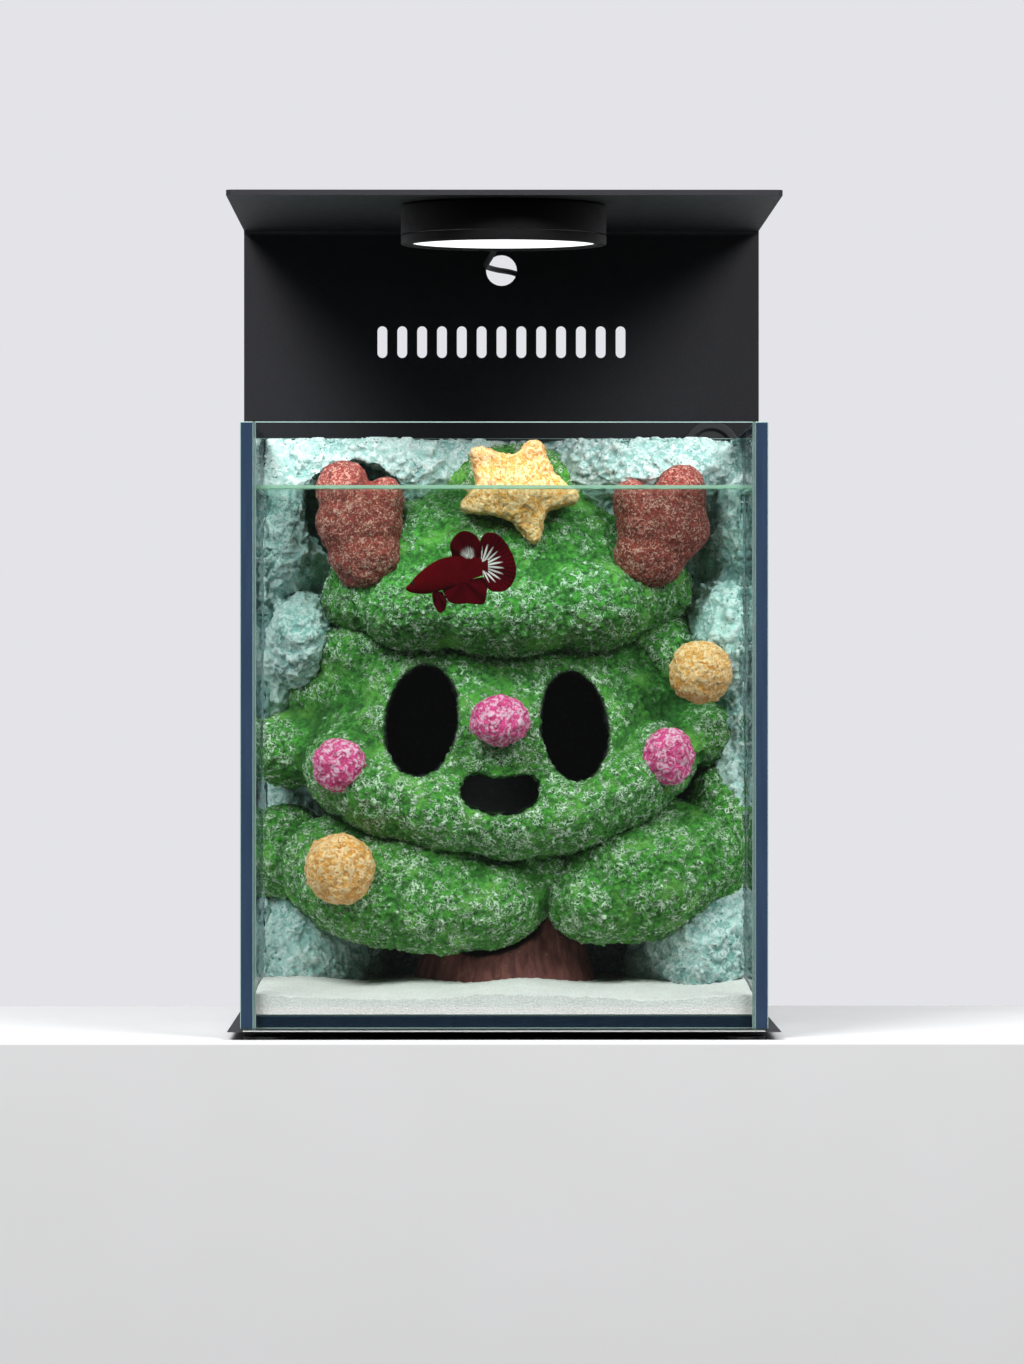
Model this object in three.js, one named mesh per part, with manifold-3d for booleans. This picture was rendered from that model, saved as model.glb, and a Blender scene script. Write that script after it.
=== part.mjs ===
// A desktop aquarium on a folded sheet-metal stand: a rimless glass tank with a sculpted Christmas-tree
// insert and a bed of sand, under a canopy that holds a round magnetic lamp.
// Millimetres. +Z is up, -Y is the front, and the origin is on the surface it stands on, below its middle.
import * as THREE from "three";
import { mergeVertices } from "three/addons/utils/BufferGeometryUtils.js";
import Module from "manifold-3d";

const wasm = await Module();
wasm.setup();

// ---------------------------------------------------------------- driving dimensions
const GAP = 0.3; // clearance kept between pieces that are cut to each other
const SHEET = 2; // thickness of the stand's sheet
const STAND_W = 210;
const STAND_D = 220;
const STAND_H = 320; // base plate's underside to canopy's top
const BASE_SETBACK = 8; // how far the base's front edge lies behind the canopy's
const FOLD_R = 2; // inside radius of the two folds
const FOOT_H = 1;
const FOOT_R = 8;

const TANK_W = 200;
const TANK_D = 200;
const TANK_H = 230;
const GLASS = 5;
const BOND = 0.6; // silicone between two panes
const MAT_H = 1;
const TANK_FRONT_MARGIN = 4; // base plate showing in front of the tank

const LAMP_R = 39.5;
const LAMP_H = 15.4;
const LAMP_Y = -55.5; // lamp's centre, from the stand's middle
const BEZEL_H = 3.7;
const LENS_R = 35.3;
const ROUND = 48; // sides of the lamp's circles

const CORD_D = 2.3;

// ---------------------------------------------------------------- levels and faces that follow from them
const BASE_TOP = FOOT_H + SHEET;
const CANOPY_UNDER = FOOT_H + STAND_H - SHEET;
const FRONT_Y = -STAND_D / 2;
const BACK_Y = STAND_D / 2;
const PANEL_FACE_Y = BACK_Y - SHEET;
const BASE_FRONT_Y = FRONT_Y + BASE_SETBACK;

const TANK_Z = BASE_TOP + MAT_H;
const TANK_TOP = TANK_Z + TANK_H;
const TANK_FRONT_Y = BASE_FRONT_Y + TANK_FRONT_MARGIN;
const TANK_BACK_Y = TANK_FRONT_Y + TANK_D;
const TANK_MID_Y = (TANK_FRONT_Y + TANK_BACK_Y) / 2;
const INNER_X = TANK_W / 2 - GLASS;
const INNER_FRONT = TANK_FRONT_Y + GLASS;
const INNER_BACK = TANK_BACK_Y - GLASS;
const FLOOR_Z = TANK_Z + GLASS;

// ---------------------------------------------------------------- small helpers
const material = (color, roughness, metalness = 0) =>
  new THREE.MeshStandardMaterial({ color, roughness, metalness });

const MATERIALS = {
  steel: material(0x1b1b1e, 0.55, 0.2),
  rubber: material(0x101012, 0.8),
  clearPad: material(0xd8dcd8, 0.6),
  glass: material(0xcfe6de, 0.05),
  silicone: material(0xc8d8d2, 0.3),
  sand: material(0xdfe5dd, 0.95),
  rock: material(0xa9c9c2, 0.95),
  green: material(0x2f8a35, 0.95),
  trunk: material(0x6f3a31, 0.9),
  antler: material(0x9c4b41, 0.9),
  gold: material(0xe3b456, 0.85),
  pink: material(0xd2477c, 0.8),
  lampBlack: material(0x121214, 0.45, 0.3),
  lens: material(0xffffff, 0.4),
  board: material(0xe9ece9, 0.5),
  bright: material(0xc0c2c6, 0.3, 1),
  cord: material(0x141416, 0.6),
};

const root = new THREE.Group();

function add(name, geometry, look) {
  const mesh = new THREE.Mesh(geometry, MATERIALS[look]);
  mesh.name = name;
  root.add(mesh);
}

// A closed three.js geometry as a manifold solid.
function solid(geometry) {
  const bare = geometry.clone();
  bare.deleteAttribute("normal");
  bare.deleteAttribute("uv");
  const merged = mergeVertices(bare, 1e-4);
  return new wasm.Manifold(
    new wasm.Mesh({
      numProp: 3,
      vertProperties: new Float32Array(merged.attributes.position.array),
      triVerts: new Uint32Array(merged.index.array),
    }),
  );
}

// A manifold solid as a three.js geometry.
function geometryOf(made) {
  const { vertProperties, triVerts } = made.getMesh();
  return new THREE.BufferGeometry()
    .setAttribute("position", new THREE.BufferAttribute(vertProperties, 3))
    .setIndex(new THREE.BufferAttribute(triVerts, 1));
}

const joined = (solids) => solids.reduce((all, next) => all.add(next));
const cut = (from, solids) => solids.reduce((left, next) => left.subtract(next), from);

// The largest body of a solid that a cut may have left in pieces.
function largest(made) {
  return made.decompose().sort((a, b) => b.volume() - a.volume())[0];
}

function box([x0, x1], [y0, y1], [z0, z1]) {
  return new THREE.BoxGeometry(x1 - x0, y1 - y0, z1 - z0).translate(
    (x0 + x1) / 2,
    (y0 + y1) / 2,
    (z0 + z1) / 2,
  );
}

// A shape drawn in (y, z), extruded along X from x0 to x1.
function alongX(shape, x0, x1, curveSegments = 8) {
  const turn = new THREE.Matrix4().makeBasis(
    new THREE.Vector3(0, 1, 0),
    new THREE.Vector3(0, 0, 1),
    new THREE.Vector3(1, 0, 0),
  );
  return new THREE.ExtrudeGeometry(shape, { depth: x1 - x0, bevelEnabled: false, curveSegments })
    .applyMatrix4(turn)
    .translate(x0, 0, 0);
}

// A shape drawn in (x, z), extruded along Y from y0 to y1.
function alongY(shape, y0, y1, curveSegments = 8) {
  return new THREE.ExtrudeGeometry(shape, { depth: y1 - y0, bevelEnabled: false, curveSegments })
    .rotateX(Math.PI / 2)
    .translate(0, y1, 0);
}

// A profile of [radius, z] points that starts and ends on the axis, or closes on itself, turned about Z.
function turned(profile, x, y, segments = 48) {
  return new THREE.LatheGeometry(
    profile.map(([r, z]) => new THREE.Vector2(r, z)),
    segments,
  )
    .rotateX(Math.PI / 2)
    .translate(x, y, 0);
}

// A round disc from z0 to z1.
const disc = (r, z0, z1, x, y, segments) =>
  turned([[0, z0], [r, z0], [r, z1], [0, z1]], x, y, segments);

// A ring from z0 to z1 between two radii.
const ring = (inner, outer, z0, z1, x, y, segments) =>
  turned([[inner, z0], [outer, z0], [outer, z1], [inner, z1], [inner, z0]], x, y, segments);

// A round bar along Y.
const barY = (r, y0, y1, x, z, segments = 24) =>
  new THREE.CylinderGeometry(r, r, y1 - y0, segments).translate(x, (y0 + y1) / 2, z);

// ---------------------------------------------------------------- the stand: one folded sheet
const CABLE_HOLE = { x: 0, z: 302.8, r: 6.3 };
const PLUG_HOLE = { x: 85.5, z: 229.6, r: 10.5 };
const SLOTS = { count: 13, pitch: 8.1, width: 4, height: 13, z: 273.6 };
const CORNER_R = 3;

function standProfile() {
  const outer = FOLD_R + SHEET;
  const top = FOOT_H + STAND_H;
  const shape = new THREE.Shape();
  shape.moveTo(BASE_FRONT_Y, FOOT_H);
  shape.absarc(BACK_Y - outer, FOOT_H + outer, outer, -Math.PI / 2, 0, false);
  shape.absarc(BACK_Y - outer, top - outer, outer, 0, Math.PI / 2, false);
  shape.lineTo(FRONT_Y, top);
  shape.lineTo(FRONT_Y, CANOPY_UNDER);
  shape.absarc(PANEL_FACE_Y - FOLD_R, CANOPY_UNDER - FOLD_R, FOLD_R, Math.PI / 2, 0, true);
  shape.absarc(PANEL_FACE_Y - FOLD_R, BASE_TOP + FOLD_R, FOLD_R, 0, -Math.PI / 2, true);
  shape.lineTo(BASE_FRONT_Y, BASE_TOP);
  shape.closePath();
  return shape;
}

// An upright slot with round ends, drawn in (x, z).
function slotShape(x) {
  const r = SLOTS.width / 2;
  const reach = SLOTS.height / 2 - r;
  const shape = new THREE.Shape();
  shape.absarc(x, SLOTS.z + reach, r, 0, Math.PI, false);
  shape.absarc(x, SLOTS.z - reach, r, Math.PI, 2 * Math.PI, false);
  shape.closePath();
  return shape;
}

// What rounding a plate's two front corners takes away.
function frontCornerCuts(frontY, z0, z1) {
  return [-1, 1].map((side) => {
    const x = side * (STAND_W / 2);
    const shape = new THREE.Shape();
    shape.moveTo(x + side, frontY - 1);
    shape.lineTo(x - side * CORNER_R, frontY - 1);
    shape.lineTo(x - side * CORNER_R, frontY);
    const [from, to] = side > 0 ? [-Math.PI / 2, 0] : [-Math.PI / 2, -Math.PI];
    shape.absarc(x - side * CORNER_R, frontY + CORNER_R, CORNER_R, from, to, side < 0);
    shape.lineTo(x + side, frontY + CORNER_R);
    shape.closePath();
    const cutter = new THREE.ExtrudeGeometry(shape, {
      depth: z1 - z0 + 2,
      bevelEnabled: false,
      curveSegments: 6,
    });
    return solid(cutter.translate(0, 0, z0 - 1));
  });
}

function buildStand() {
  const sheet = solid(alongX(standProfile(), -STAND_W / 2, STAND_W / 2, 5));
  const through = [PANEL_FACE_Y - 1, BACK_Y + 1];
  const holes = [CABLE_HOLE, PLUG_HOLE].map(({ x, z, r }) => solid(barY(r, ...through, x, z)));
  const slots = Array.from({ length: SLOTS.count }, (_, i) => {
    const x = (i - (SLOTS.count - 1) / 2) * SLOTS.pitch;
    return solid(alongY(slotShape(x), ...through, 4));
  });
  const corners = [
    ...frontCornerCuts(FRONT_Y, CANOPY_UNDER, CANOPY_UNDER + SHEET),
    ...frontCornerCuts(BASE_FRONT_Y, FOOT_H, BASE_TOP),
  ];
  add("stand_frame", geometryOf(cut(sheet, [...holes, ...slots, ...corners])), "steel");

  const footX = STAND_W / 2 - 14;
  const feet = {
    foot_front_left: [-footX, BASE_FRONT_Y + 12],
    foot_front_right: [footX, BASE_FRONT_Y + 12],
    foot_rear_left: [-footX, BACK_Y - 16],
    foot_rear_right: [footX, BACK_Y - 16],
  };
  for (const [name, [x, y]] of Object.entries(feet)) {
    add(name, disc(FOOT_R, 0, FOOT_H, x, y, 16), "clearPad");
  }

  // A push-in plug in the panel's spare hole: a flange with a dished face, and a neck.
  const { x, z, r } = PLUG_HOLE;
  const flange = r + 1.2;
  const neck = r - GAP;
  const profile = [[0, 1.2], [neck - 2.4, 1.2], [neck - 1.4, 0], [flange, 0], [flange, 1.8],
    [neck, 1.8], [neck, 4.1], [0, 4.1]];
  const plug = new THREE.LatheGeometry(profile.map((p) => new THREE.Vector2(...p)), 24);
  add("panel_plug", plug.translate(x, PANEL_FACE_Y - 1.8 - GAP, z), "rubber");
}

// ---------------------------------------------------------------- the tank
function buildTank() {
  const half = TANK_W / 2;
  const tall = [TANK_Z, TANK_TOP];
  const deep = [TANK_FRONT_Y, TANK_BACK_Y];
  const between = [-INNER_X + BOND, INNER_X - BOND];
  const front = [TANK_FRONT_Y, INNER_FRONT];
  const back = [INNER_BACK, TANK_BACK_Y];
  const mat = box([-half + 1, half - 1], [deep[0] + 1, deep[1] - 1], [BASE_TOP, TANK_Z]);
  add("levelling_mat", mat, "clearPad");
  add("glass_left", box([-half, -INNER_X], deep, tall), "glass");
  add("glass_right", box([INNER_X, half], deep, tall), "glass");
  add("glass_front", box(between, front, tall), "glass");
  add("glass_back", box(between, back, tall), "glass");
  add("glass_bottom", box(between, [INNER_FRONT + BOND, INNER_BACK - BOND], [TANK_Z, FLOOR_Z]), "glass");

  const bonds = { bond_front_left: [-1, front], bond_front_right: [1, front],
    bond_rear_left: [-1, back], bond_rear_right: [1, back] };
  for (const [name, [side, y]] of Object.entries(bonds)) {
    const x = side < 0 ? [-INNER_X, -INNER_X + BOND] : [INNER_X - BOND, INNER_X];
    add(name, box(x, y, tall), "silicone");
  }
  const level = [TANK_Z, FLOOR_Z];
  const outline = solid(box([-INNER_X, INNER_X], [INNER_FRONT, INNER_BACK], level));
  const pane = solid(box(between, [INNER_FRONT + BOND, INNER_BACK - BOND], [TANK_Z - 1, FLOOR_Z + 1]));
  add("bond_bottom", geometryOf(outline.subtract(pane)), "silicone");
}

// ---------------------------------------------------------------- the sculpted insert and the sand
// Every lump is an ellipsoid: [x, y, z of its middle, its three half-sizes, and how finely it is faceted].
const BACK_SLAB_Y = 64; // front of the slab that the insert is built on
const INSERT_TOP = TANK_TOP - 2;
const CLEAR_X = INNER_X - 0.5;
const JOINT = 0.8; // clearance between the insert's pieces
const SMOOTHING = 0.38; // how far a simplified surface may move, less than half of JOINT

function lump([x, y, z, rx, ry, rz, detail = 1], grow = 0) {
  return new THREE.IcosahedronGeometry(1, detail)
    .scale(rx + grow, ry + grow, rz + grow)
    .translate(x, y, z);
}

const lumps = (list) => (grow) => joined(list.map((l) => solid(lump(l, grow))));

// A star with five blunt points that faces the front, drawn in (x, z) and softened by its bevel.
function star(grow) {
  const centre = [5.1, 210.8];
  const tips = 5;
  const tilt = 0.33;
  const shape = new THREE.Shape();
  for (let i = 0; i < 2 * tips; i++) {
    const r = (i % 2 ? 10.5 : 18.5) + grow;
    const a = Math.PI / 2 - tilt + (i * Math.PI) / tips;
    const [x, z] = [centre[0] + r * Math.cos(a), centre[1] + r * Math.sin(a)];
    if (i) shape.lineTo(x, z);
    else shape.moveTo(x, z);
  }
  shape.closePath();
  const bevel = 3.5;
  const geometry = new THREE.ExtrudeGeometry(shape, {
    depth: 9,
    bevelEnabled: true,
    bevelThickness: bevel + grow,
    bevelSize: bevel,
    bevelSegments: 2,
  });
  return solid(geometry.rotateX(Math.PI / 2).translate(0, -3, 0));
}

// The trunk flares at its foot.
function trunk(grow) {
  const at = [0.7, 26];
  const profile = [[0, FLOOR_Z + GAP], [39 + grow, FLOOR_Z + GAP], [35 + grow, 22],
    [31 + grow, 36], [29 + grow, 62 + grow], [0, 62 + grow]];
  return solid(turned(profile, ...at, 24));
}

// The slab that the insert is built on.
const slab = () =>
  solid(box([-CLEAR_X, CLEAR_X], [BACK_SLAB_Y, INNER_BACK - 0.5], [FLOOR_Z + GAP, INSERT_TOP]));

// The sand lies thin at the front pane and rises towards the insert.
function sand() {
  const shape = new THREE.Shape();
  shape.moveTo(INNER_FRONT + GAP, FLOOR_Z + GAP);
  shape.lineTo(BACK_SLAB_Y - 2, FLOOR_Z + GAP);
  shape.lineTo(BACK_SLAB_Y - 2, 21);
  shape.bezierCurveTo(20, 20, -30, 18.5, -60, 17.5);
  shape.lineTo(INNER_FRONT + GAP, 16);
  shape.closePath();
  return solid(alongX(shape, -CLEAR_X, CLEAR_X, 6));
}

// The pieces of the insert, front ones first: each is cut clear of all those before it.
const INSERT = [
  ["star", "gold", star],
  ["antler_left", "antler", lumps([[-56.5, 8, 194, 18, 15, 23.5, 2], [-63.2, 8, 212.4, 10.4, 11, 10.4],
    [-46.6, 8, 208.6, 9.2, 10, 9.2], [-52, 8, 181.5, 13, 12, 12]])],
  ["antler_right", "antler", lumps([[61.6, 8, 194, 18, 15, 23.5, 2], [69.8, 8, 210, 10.6, 11, 10.6],
    [51.8, 8, 206, 8.8, 10, 9], [57.4, 8, 181, 13, 12, 11.5]])],
  ["bauble_gold_left", "gold", lumps([[-63.4, -30, 62.7, 14.2, 14, 14.2, 2]])],
  ["bauble_gold_right", "gold", lumps([[77, -20, 139.2, 12.6, 12.6, 12.6, 2]])],
  ["cheek_left", "pink", lumps([[-63.8, -24, 103.1, 11, 9, 11, 2]])],
  ["cheek_right", "pink", lumps([[64.3, -22, 106.2, 10.4, 9, 11.6, 2]])],
  ["nose", "pink", lumps([[-1.3, -33, 120.4, 12.4, 9, 10.2, 2]])],
  ["tree_top", "green", lumps([[-2, 30, 176, 70, 52, 33, 2], [-38, 6, 166, 36, 27, 18],
    [2, -2, 162, 44, 27, 18], [42, 6, 167, 32, 27, 18], [6, 38, 206, 36, 34, 24, 2],
    [-60, 20, 170, 17, 20, 19]])],
  ["tree_face", "green", lumps([[-3, 22, 106, 77, 56, 41, 2], [-4, 36, 128, 84, 46, 36, 2],
    [-42, -4, 89, 36, 29, 20], [-2, -8, 82, 44, 28, 18.5], [42, -4, 88, 33, 29, 20.5],
    [-62, 0, 104, 22, 24, 22], [60, 0, 106, 21, 24, 22], [-82, 32, 112, 24, 26, 19],
    [80, 26, 113, 20, 28, 18]])],
  ["tree_skirt_right", "green", lumps([[52, 26, 60, 48, 58, 29, 2], [62, 2, 58, 34, 34, 25],
    [38, 0, 51, 21, 32, 21], [86, 18, 76, 16, 28, 24]])],
  ["tree_skirt_left", "green", lumps([[-34, 26, 57, 52, 58, 29, 2], [-40, -2, 51, 44, 32, 23],
    [-8, 0, 48, 26, 32, 20.5], [-86, 34, 67, 16, 28, 20]])],
  ["tree_trunk", "trunk", trunk],
  ["boulder_left", "rock", lumps([[-79, 36, 151, 17.5, 34, 22.5]])],
  ["rock_left_column", "rock", lumps([[-86, 52, 196, 22, 36, 34], [-88, 56, 140, 18, 26, 36]])],
  ["rock_right_column", "rock", lumps([[90, 16, 186, 15, 50, 38], [89, 22, 146, 14, 44, 26]])],
  ["rock_top_left", "rock", lumps([[-48, 48, 219, 40, 34, 21]])],
  ["rock_top_right", "rock", lumps([[58, 40, 219, 42, 38, 20]])],
  ["rock_foot_left", "rock", lumps([[-78, 52, 26, 32, 34, 30], [-66, 56, 22, 26, 22, 22]])],
  ["rock_foot_right", "rock", lumps([[80, 28, 30, 28, 46, 34], [70, 44, 22, 28, 34, 20]])],
];

const CAVE = [-3, 24, 106, 63, 46, 31, 2]; // the hollow behind the face
const EYES = [
  { x: -31.8, z: 120.4, rx: 15, rz: 23.3, lean: -0.14 },
  { x: 27.8, z: 118.2, rx: 13.9, rz: 22.9, lean: 0.13 },
];
const MOUTH = { x: -1.5, z: 91.6, half: 15.7, rise: 6.8, drop: 8.4 };

// What opens the face: two leaning oval eyes, a smiling mouth and the cave that they lead into.
function faceOpenings() {
  const deep = [-60, BACK_SLAB_Y + 1];
  const eyes = EYES.map(({ x, z, rx, rz, lean }) => {
    const shape = new THREE.Shape().absellipse(x, z, rx, rz, 0, 2 * Math.PI, false, lean);
    return solid(alongY(shape, ...deep, 10));
  });
  const { x, z, half, rise, drop } = MOUTH;
  const smile = new THREE.Shape();
  smile.moveTo(x - half, z + rise - 3);
  smile.bezierCurveTo(x - half, z - drop, x - half / 2, z - drop, x, z - drop);
  smile.bezierCurveTo(x + half / 2, z - drop, x + half, z - drop, x + half, z + rise - 3);
  smile.bezierCurveTo(x + half, z + rise + 3, x + half / 3, z + rise - 1, x, z + rise - 1);
  smile.bezierCurveTo(x - half / 3, z + rise - 1, x - half, z + rise + 3, x - half, z + rise - 3);
  const behind = solid(box([-CAVE[3] * 0.72, CAVE[3] * 0.72], [CAVE[1], 120], [84, 126]));
  return [...eyes, solid(alongY(smile, ...deep, 3)), solid(lump(CAVE)), behind];
}

function buildInsert() {
  const before = [INNER_FRONT + 1, BACK_SLAB_Y - JOINT];
  const room = solid(box([-CLEAR_X, CLEAR_X], before, [FLOOR_Z + GAP, INSERT_TOP]));
  const taken = [];
  for (const [name, look, make] of INSERT) {
    let piece = cut(make(0).intersect(room), taken);
    if (name === "tree_face") piece = cut(piece, faceOpenings());
    add(name, geometryOf(largest(piece).asOriginal().simplify(SMOOTHING)), look);
    taken.push(make(JOINT));
  }
  add("rock_back", geometryOf(slab()), "rock");
  add("sand_bed", geometryOf(largest(cut(sand(), taken)).asOriginal().simplify(SMOOTHING)), "sand");
}

// ---------------------------------------------------------------- the lamp: a magnetic puck
function buildLamp() {
  const top = CANOPY_UNDER - GAP;
  const bottom = top - LAMP_H;
  const seam = bottom + BEZEL_H;
  const wall = 2.2;
  const magnet = { r: 5, h: 2, at: 24 };
  const roof = top - 4;
  const spots = Array.from({ length: 3 }, (_, i) => {
    const a = Math.PI / 2 + (i * 2 * Math.PI) / 3;
    return [magnet.at * Math.cos(a), LAMP_Y + magnet.at * Math.sin(a)];
  });
  const screwSpots = spots.map(([x, y]) => [-x * 0.8, LAMP_Y - (y - LAMP_Y) * 0.8]);

  const shell = solid(turned([[0, roof], [LAMP_R - wall, roof], [LAMP_R - wall, seam + GAP],
    [LAMP_R, seam + GAP], [LAMP_R, top], [0, top]], 0, LAMP_Y, ROUND));
  const pocket = [magnet.r + 0.15, top - magnet.h - 0.1, top + 1];
  const pockets = spots.map(([x, y]) => solid(disc(...pocket, x, y, 16)));
  const pilots = screwSpots.map(([x, y]) => solid(disc(1.2, roof - 1, roof + 2.4, x, y, 12)));
  add("lamp_housing", geometryOf(cut(shell, [...pockets, ...pilots])), "lampBlack");

  const lip = bottom + 0.9;
  add("lamp_bezel", turned([[LENS_R, bottom], [LAMP_R, bottom], [LAMP_R, seam],
    [LAMP_R - wall - GAP, seam], [LAMP_R - wall - GAP, lip], [LENS_R, lip], [LENS_R, bottom]],
  0, LAMP_Y, ROUND), "lampBlack");
  add("lamp_diffuser", disc(LAMP_R - wall - 2 * GAP, lip + 0.05, lip + 1.6, 0, LAMP_Y, ROUND), "lens");

  const boardTop = roof - 1;
  const boardR = LAMP_R - wall - 1;
  const leds = [];
  for (const [count, radius] of [[6, 12], [12, 26]]) {
    for (let i = 0; i < count; i++) {
      const a = ((i + 0.5) * 2 * Math.PI) / count;
      const [x, y] = [radius * Math.cos(a), LAMP_Y + radius * Math.sin(a)];
      leds.push(solid(box([x - 1.4, x + 1.4], [y - 1.4, y + 1.4], [boardTop - 2.1, boardTop - 1.3])));
    }
  }
  const board = joined([solid(disc(boardR, boardTop - 1.4, boardTop, 0, LAMP_Y, 32)), ...leds]);
  const clearances = screwSpots.map(([x, y]) => solid(disc(1.6, boardTop - 3, boardTop + 1, x, y, 12)));
  add("lamp_led_board", geometryOf(cut(board, clearances)), "board");

  screwSpots.forEach(([x, y], i) => {
    const under = boardTop - 1.4 - 0.05;
    add(`lamp_screw_${i + 1}`, turned([[0, under - 1.2], [2.4, under - 1.2], [2.4, under],
      [1, under], [1, roof + 2], [0, roof + 2]], x, y, 10), "bright");
  });
  spots.forEach(([x, y], i) => {
    add(`lamp_magnet_${i + 1}`, disc(magnet.r, top - magnet.h, top - 0.05, x, y, 16), "bright");
  });

  // The strain relief, a tapered sleeve with grooves, on the housing's back.
  const start = LAMP_Y + LAMP_R + GAP;
  const sleeve = new THREE.LatheGeometry([[0, 0], [2.9, 0], [2.9, 1.4], [2.2, 1.8], [2.2, 3.2], [1.9, 3.6],
    [2.1, 4.4], [2.05, 6], [1.75, 6.4], [1.95, 7.2], [1.9, 8.8], [1.6, 9.2], [1.75, 10], [1.6, 12], [0, 12]]
    .map((p) => new THREE.Vector2(...p)), 12);
  add("lamp_strain_relief", sleeve.translate(CORD_EXIT.x, start, CORD_EXIT.z), "cord");
}

// ---------------------------------------------------------------- the lamp's lead
// It leaves the lamp's back, sags to the hole in the panel, hangs behind it and is coiled on the surface.
const CORD_EXIT = new THREE.Vector3(0, LAMP_Y + LAMP_R + 12 + 2 * GAP, 311.6);
const DROP_X = 12.15; // behind the bar between two slots
const COIL = { turn: 16.1, inner: 9.2, layers: 4, y: 139 };
const COIL_X = DROP_X - COIL.turn;
const LEAD_ROUTE = [
  [CORD_EXIT.x, CORD_EXIT.y, CORD_EXIT.z], [-0.3, 6, 311.4], [-1.2, 20, 310.2], [-2.6, 38, 308],
  [-4.2, 58, 306.1], [-5.6, 78, 304.9], [-6.3, 93, 304.3], [-5.9, 101, 303.9], [-4, 106.6, 303.5],
  [-0.8, 110.8, 303], [3.4, 113.6, 302.5], [7.8, 114.8, 300.9], [11, 115, 297], [DROP_X, 115, 290],
  [DROP_X, 115, 270], [DROP_X, 115, 230], [DROP_X, 115, 180], [DROP_X, 115, 130], [DROP_X, 115, 80],
  [DROP_X, 115, 40], [DROP_X, 115.1, 18], [DROP_X, 116.2, 9], [DROP_X, 119.6, 3.4],
  [DROP_X, 125, 1.3], [DROP_X, COIL.y - 9.6, CORD_D / 2 + 0.05],
];
const PLUG = { x: COIL_X - 24, y: 151.6, z: 3.6 };
const TAIL_ROUTE = [
  [COIL_X + 9.6, COIL.y + 15.6, 8.1], [COIL_X + 6, COIL.y + 18.2, 8], [COIL_X + 1, COIL.y + 19.6, 7.2],
  [COIL_X - 5, COIL.y + 19.2, 5.8], [COIL_X - 11, COIL.y + 17, 4.6], [COIL_X - 16.5, COIL.y + 14, 3.8],
  [COIL_X - 20.5, PLUG.y + 0.2, PLUG.z], [PLUG.x + GAP, PLUG.y, PLUG.z],
];

// A round cord along a list of points.
function cordAlong(points, steps) {
  const path = new THREE.CatmullRomCurve3(points.map((p) => new THREE.Vector3(...p)));
  const sides = 8;
  const section = new THREE.Shape(
    Array.from({ length: sides }, (_, i) => {
      const a = (i * 2 * Math.PI) / sides;
      return new THREE.Vector2((CORD_D / 2) * Math.cos(a), (CORD_D / 2) * Math.sin(a));
    }),
  );
  return new THREE.ExtrudeGeometry(section, { steps, extrudePath: path, curveSegments: 1 });
}

function buildLead() {
  add("lead_hanging", cordAlong(LEAD_ROUTE, 64), "cord");
  const half = CORD_D / 2;
  const height = COIL.layers * CORD_D + 0.1;
  const across = [COIL.inner - half - 0.1, COIL.turn + half + 0.1];
  add("lead_coil", ring(...across, 0.05, height, COIL_X, COIL.y, 28), "cord");
  add("lead_tail", cordAlong(TAIL_ROUTE, 12), "cord");

  // A strap round the coil's left side.
  const [y0, y1] = [COIL.y - 2.5, COIL.y + 2.5];
  const [x0, x1] = [COIL_X - COIL.turn - half - 0.1, COIL_X - COIL.inner + half + 0.7];
  const strap = solid(box([x0 - 1.1, x1 + 1.1], [y0, y1], [0, height + 1.1]));
  const hole = solid(box([x0 - GAP, x1 + GAP], [y0 - 1, y1 + 1], [-1, height + GAP]));
  add("lead_strap", geometryOf(strap.subtract(hole)), "rubber");

  // The plug lies on its flat side beside the coil and points to -X.
  const { x, y, z } = PLUG;
  const body = solid(box([x - 27, x - 7], [y - 7.5, y + 7.5], [0.1, 2 * z - 0.1]));
  const sleeve = new THREE.CylinderGeometry(2.9, 1.8, 8, 16).rotateZ(Math.PI / 2).translate(x - 4, y, z);
  add("plug_body", geometryOf(body.add(solid(sleeve))), "cord");
  const [s0, s1] = [x - 39, x - 27 - GAP];
  const shell = solid(box([s0, s1], [y - 6, y + 6], [z - 2.25, z + 2.25]));
  const mouth = solid(box([s0 - 1, s1 - 1], [y - 5.7, y + 5.7], [z - 1.95, z + 1.95]));
  add("plug_shell", geometryOf(shell.subtract(mouth)), "bright");
  add("plug_tongue", box([s0 + 0.5, s1 - 1 - GAP], [y - 5.3, y + 5.3], [z - 1.65, z - 0.1]), "board");
}

buildStand();
buildTank();
buildInsert();
buildLamp();
buildLead();

export default root;
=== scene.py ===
"""Looks of a desktop aquarium on a folded metal stand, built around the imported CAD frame.

Metres, +Z up, front towards -Y. The sculpted insert, sand, water, fish, panes, lamp and lead are made
here; the stand's sheet and the small hard parts are refined copies of their CAD nodes.
"""

import math

import bmesh
import bpy
import numpy as np
from mathutils import Matrix, Vector


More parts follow.
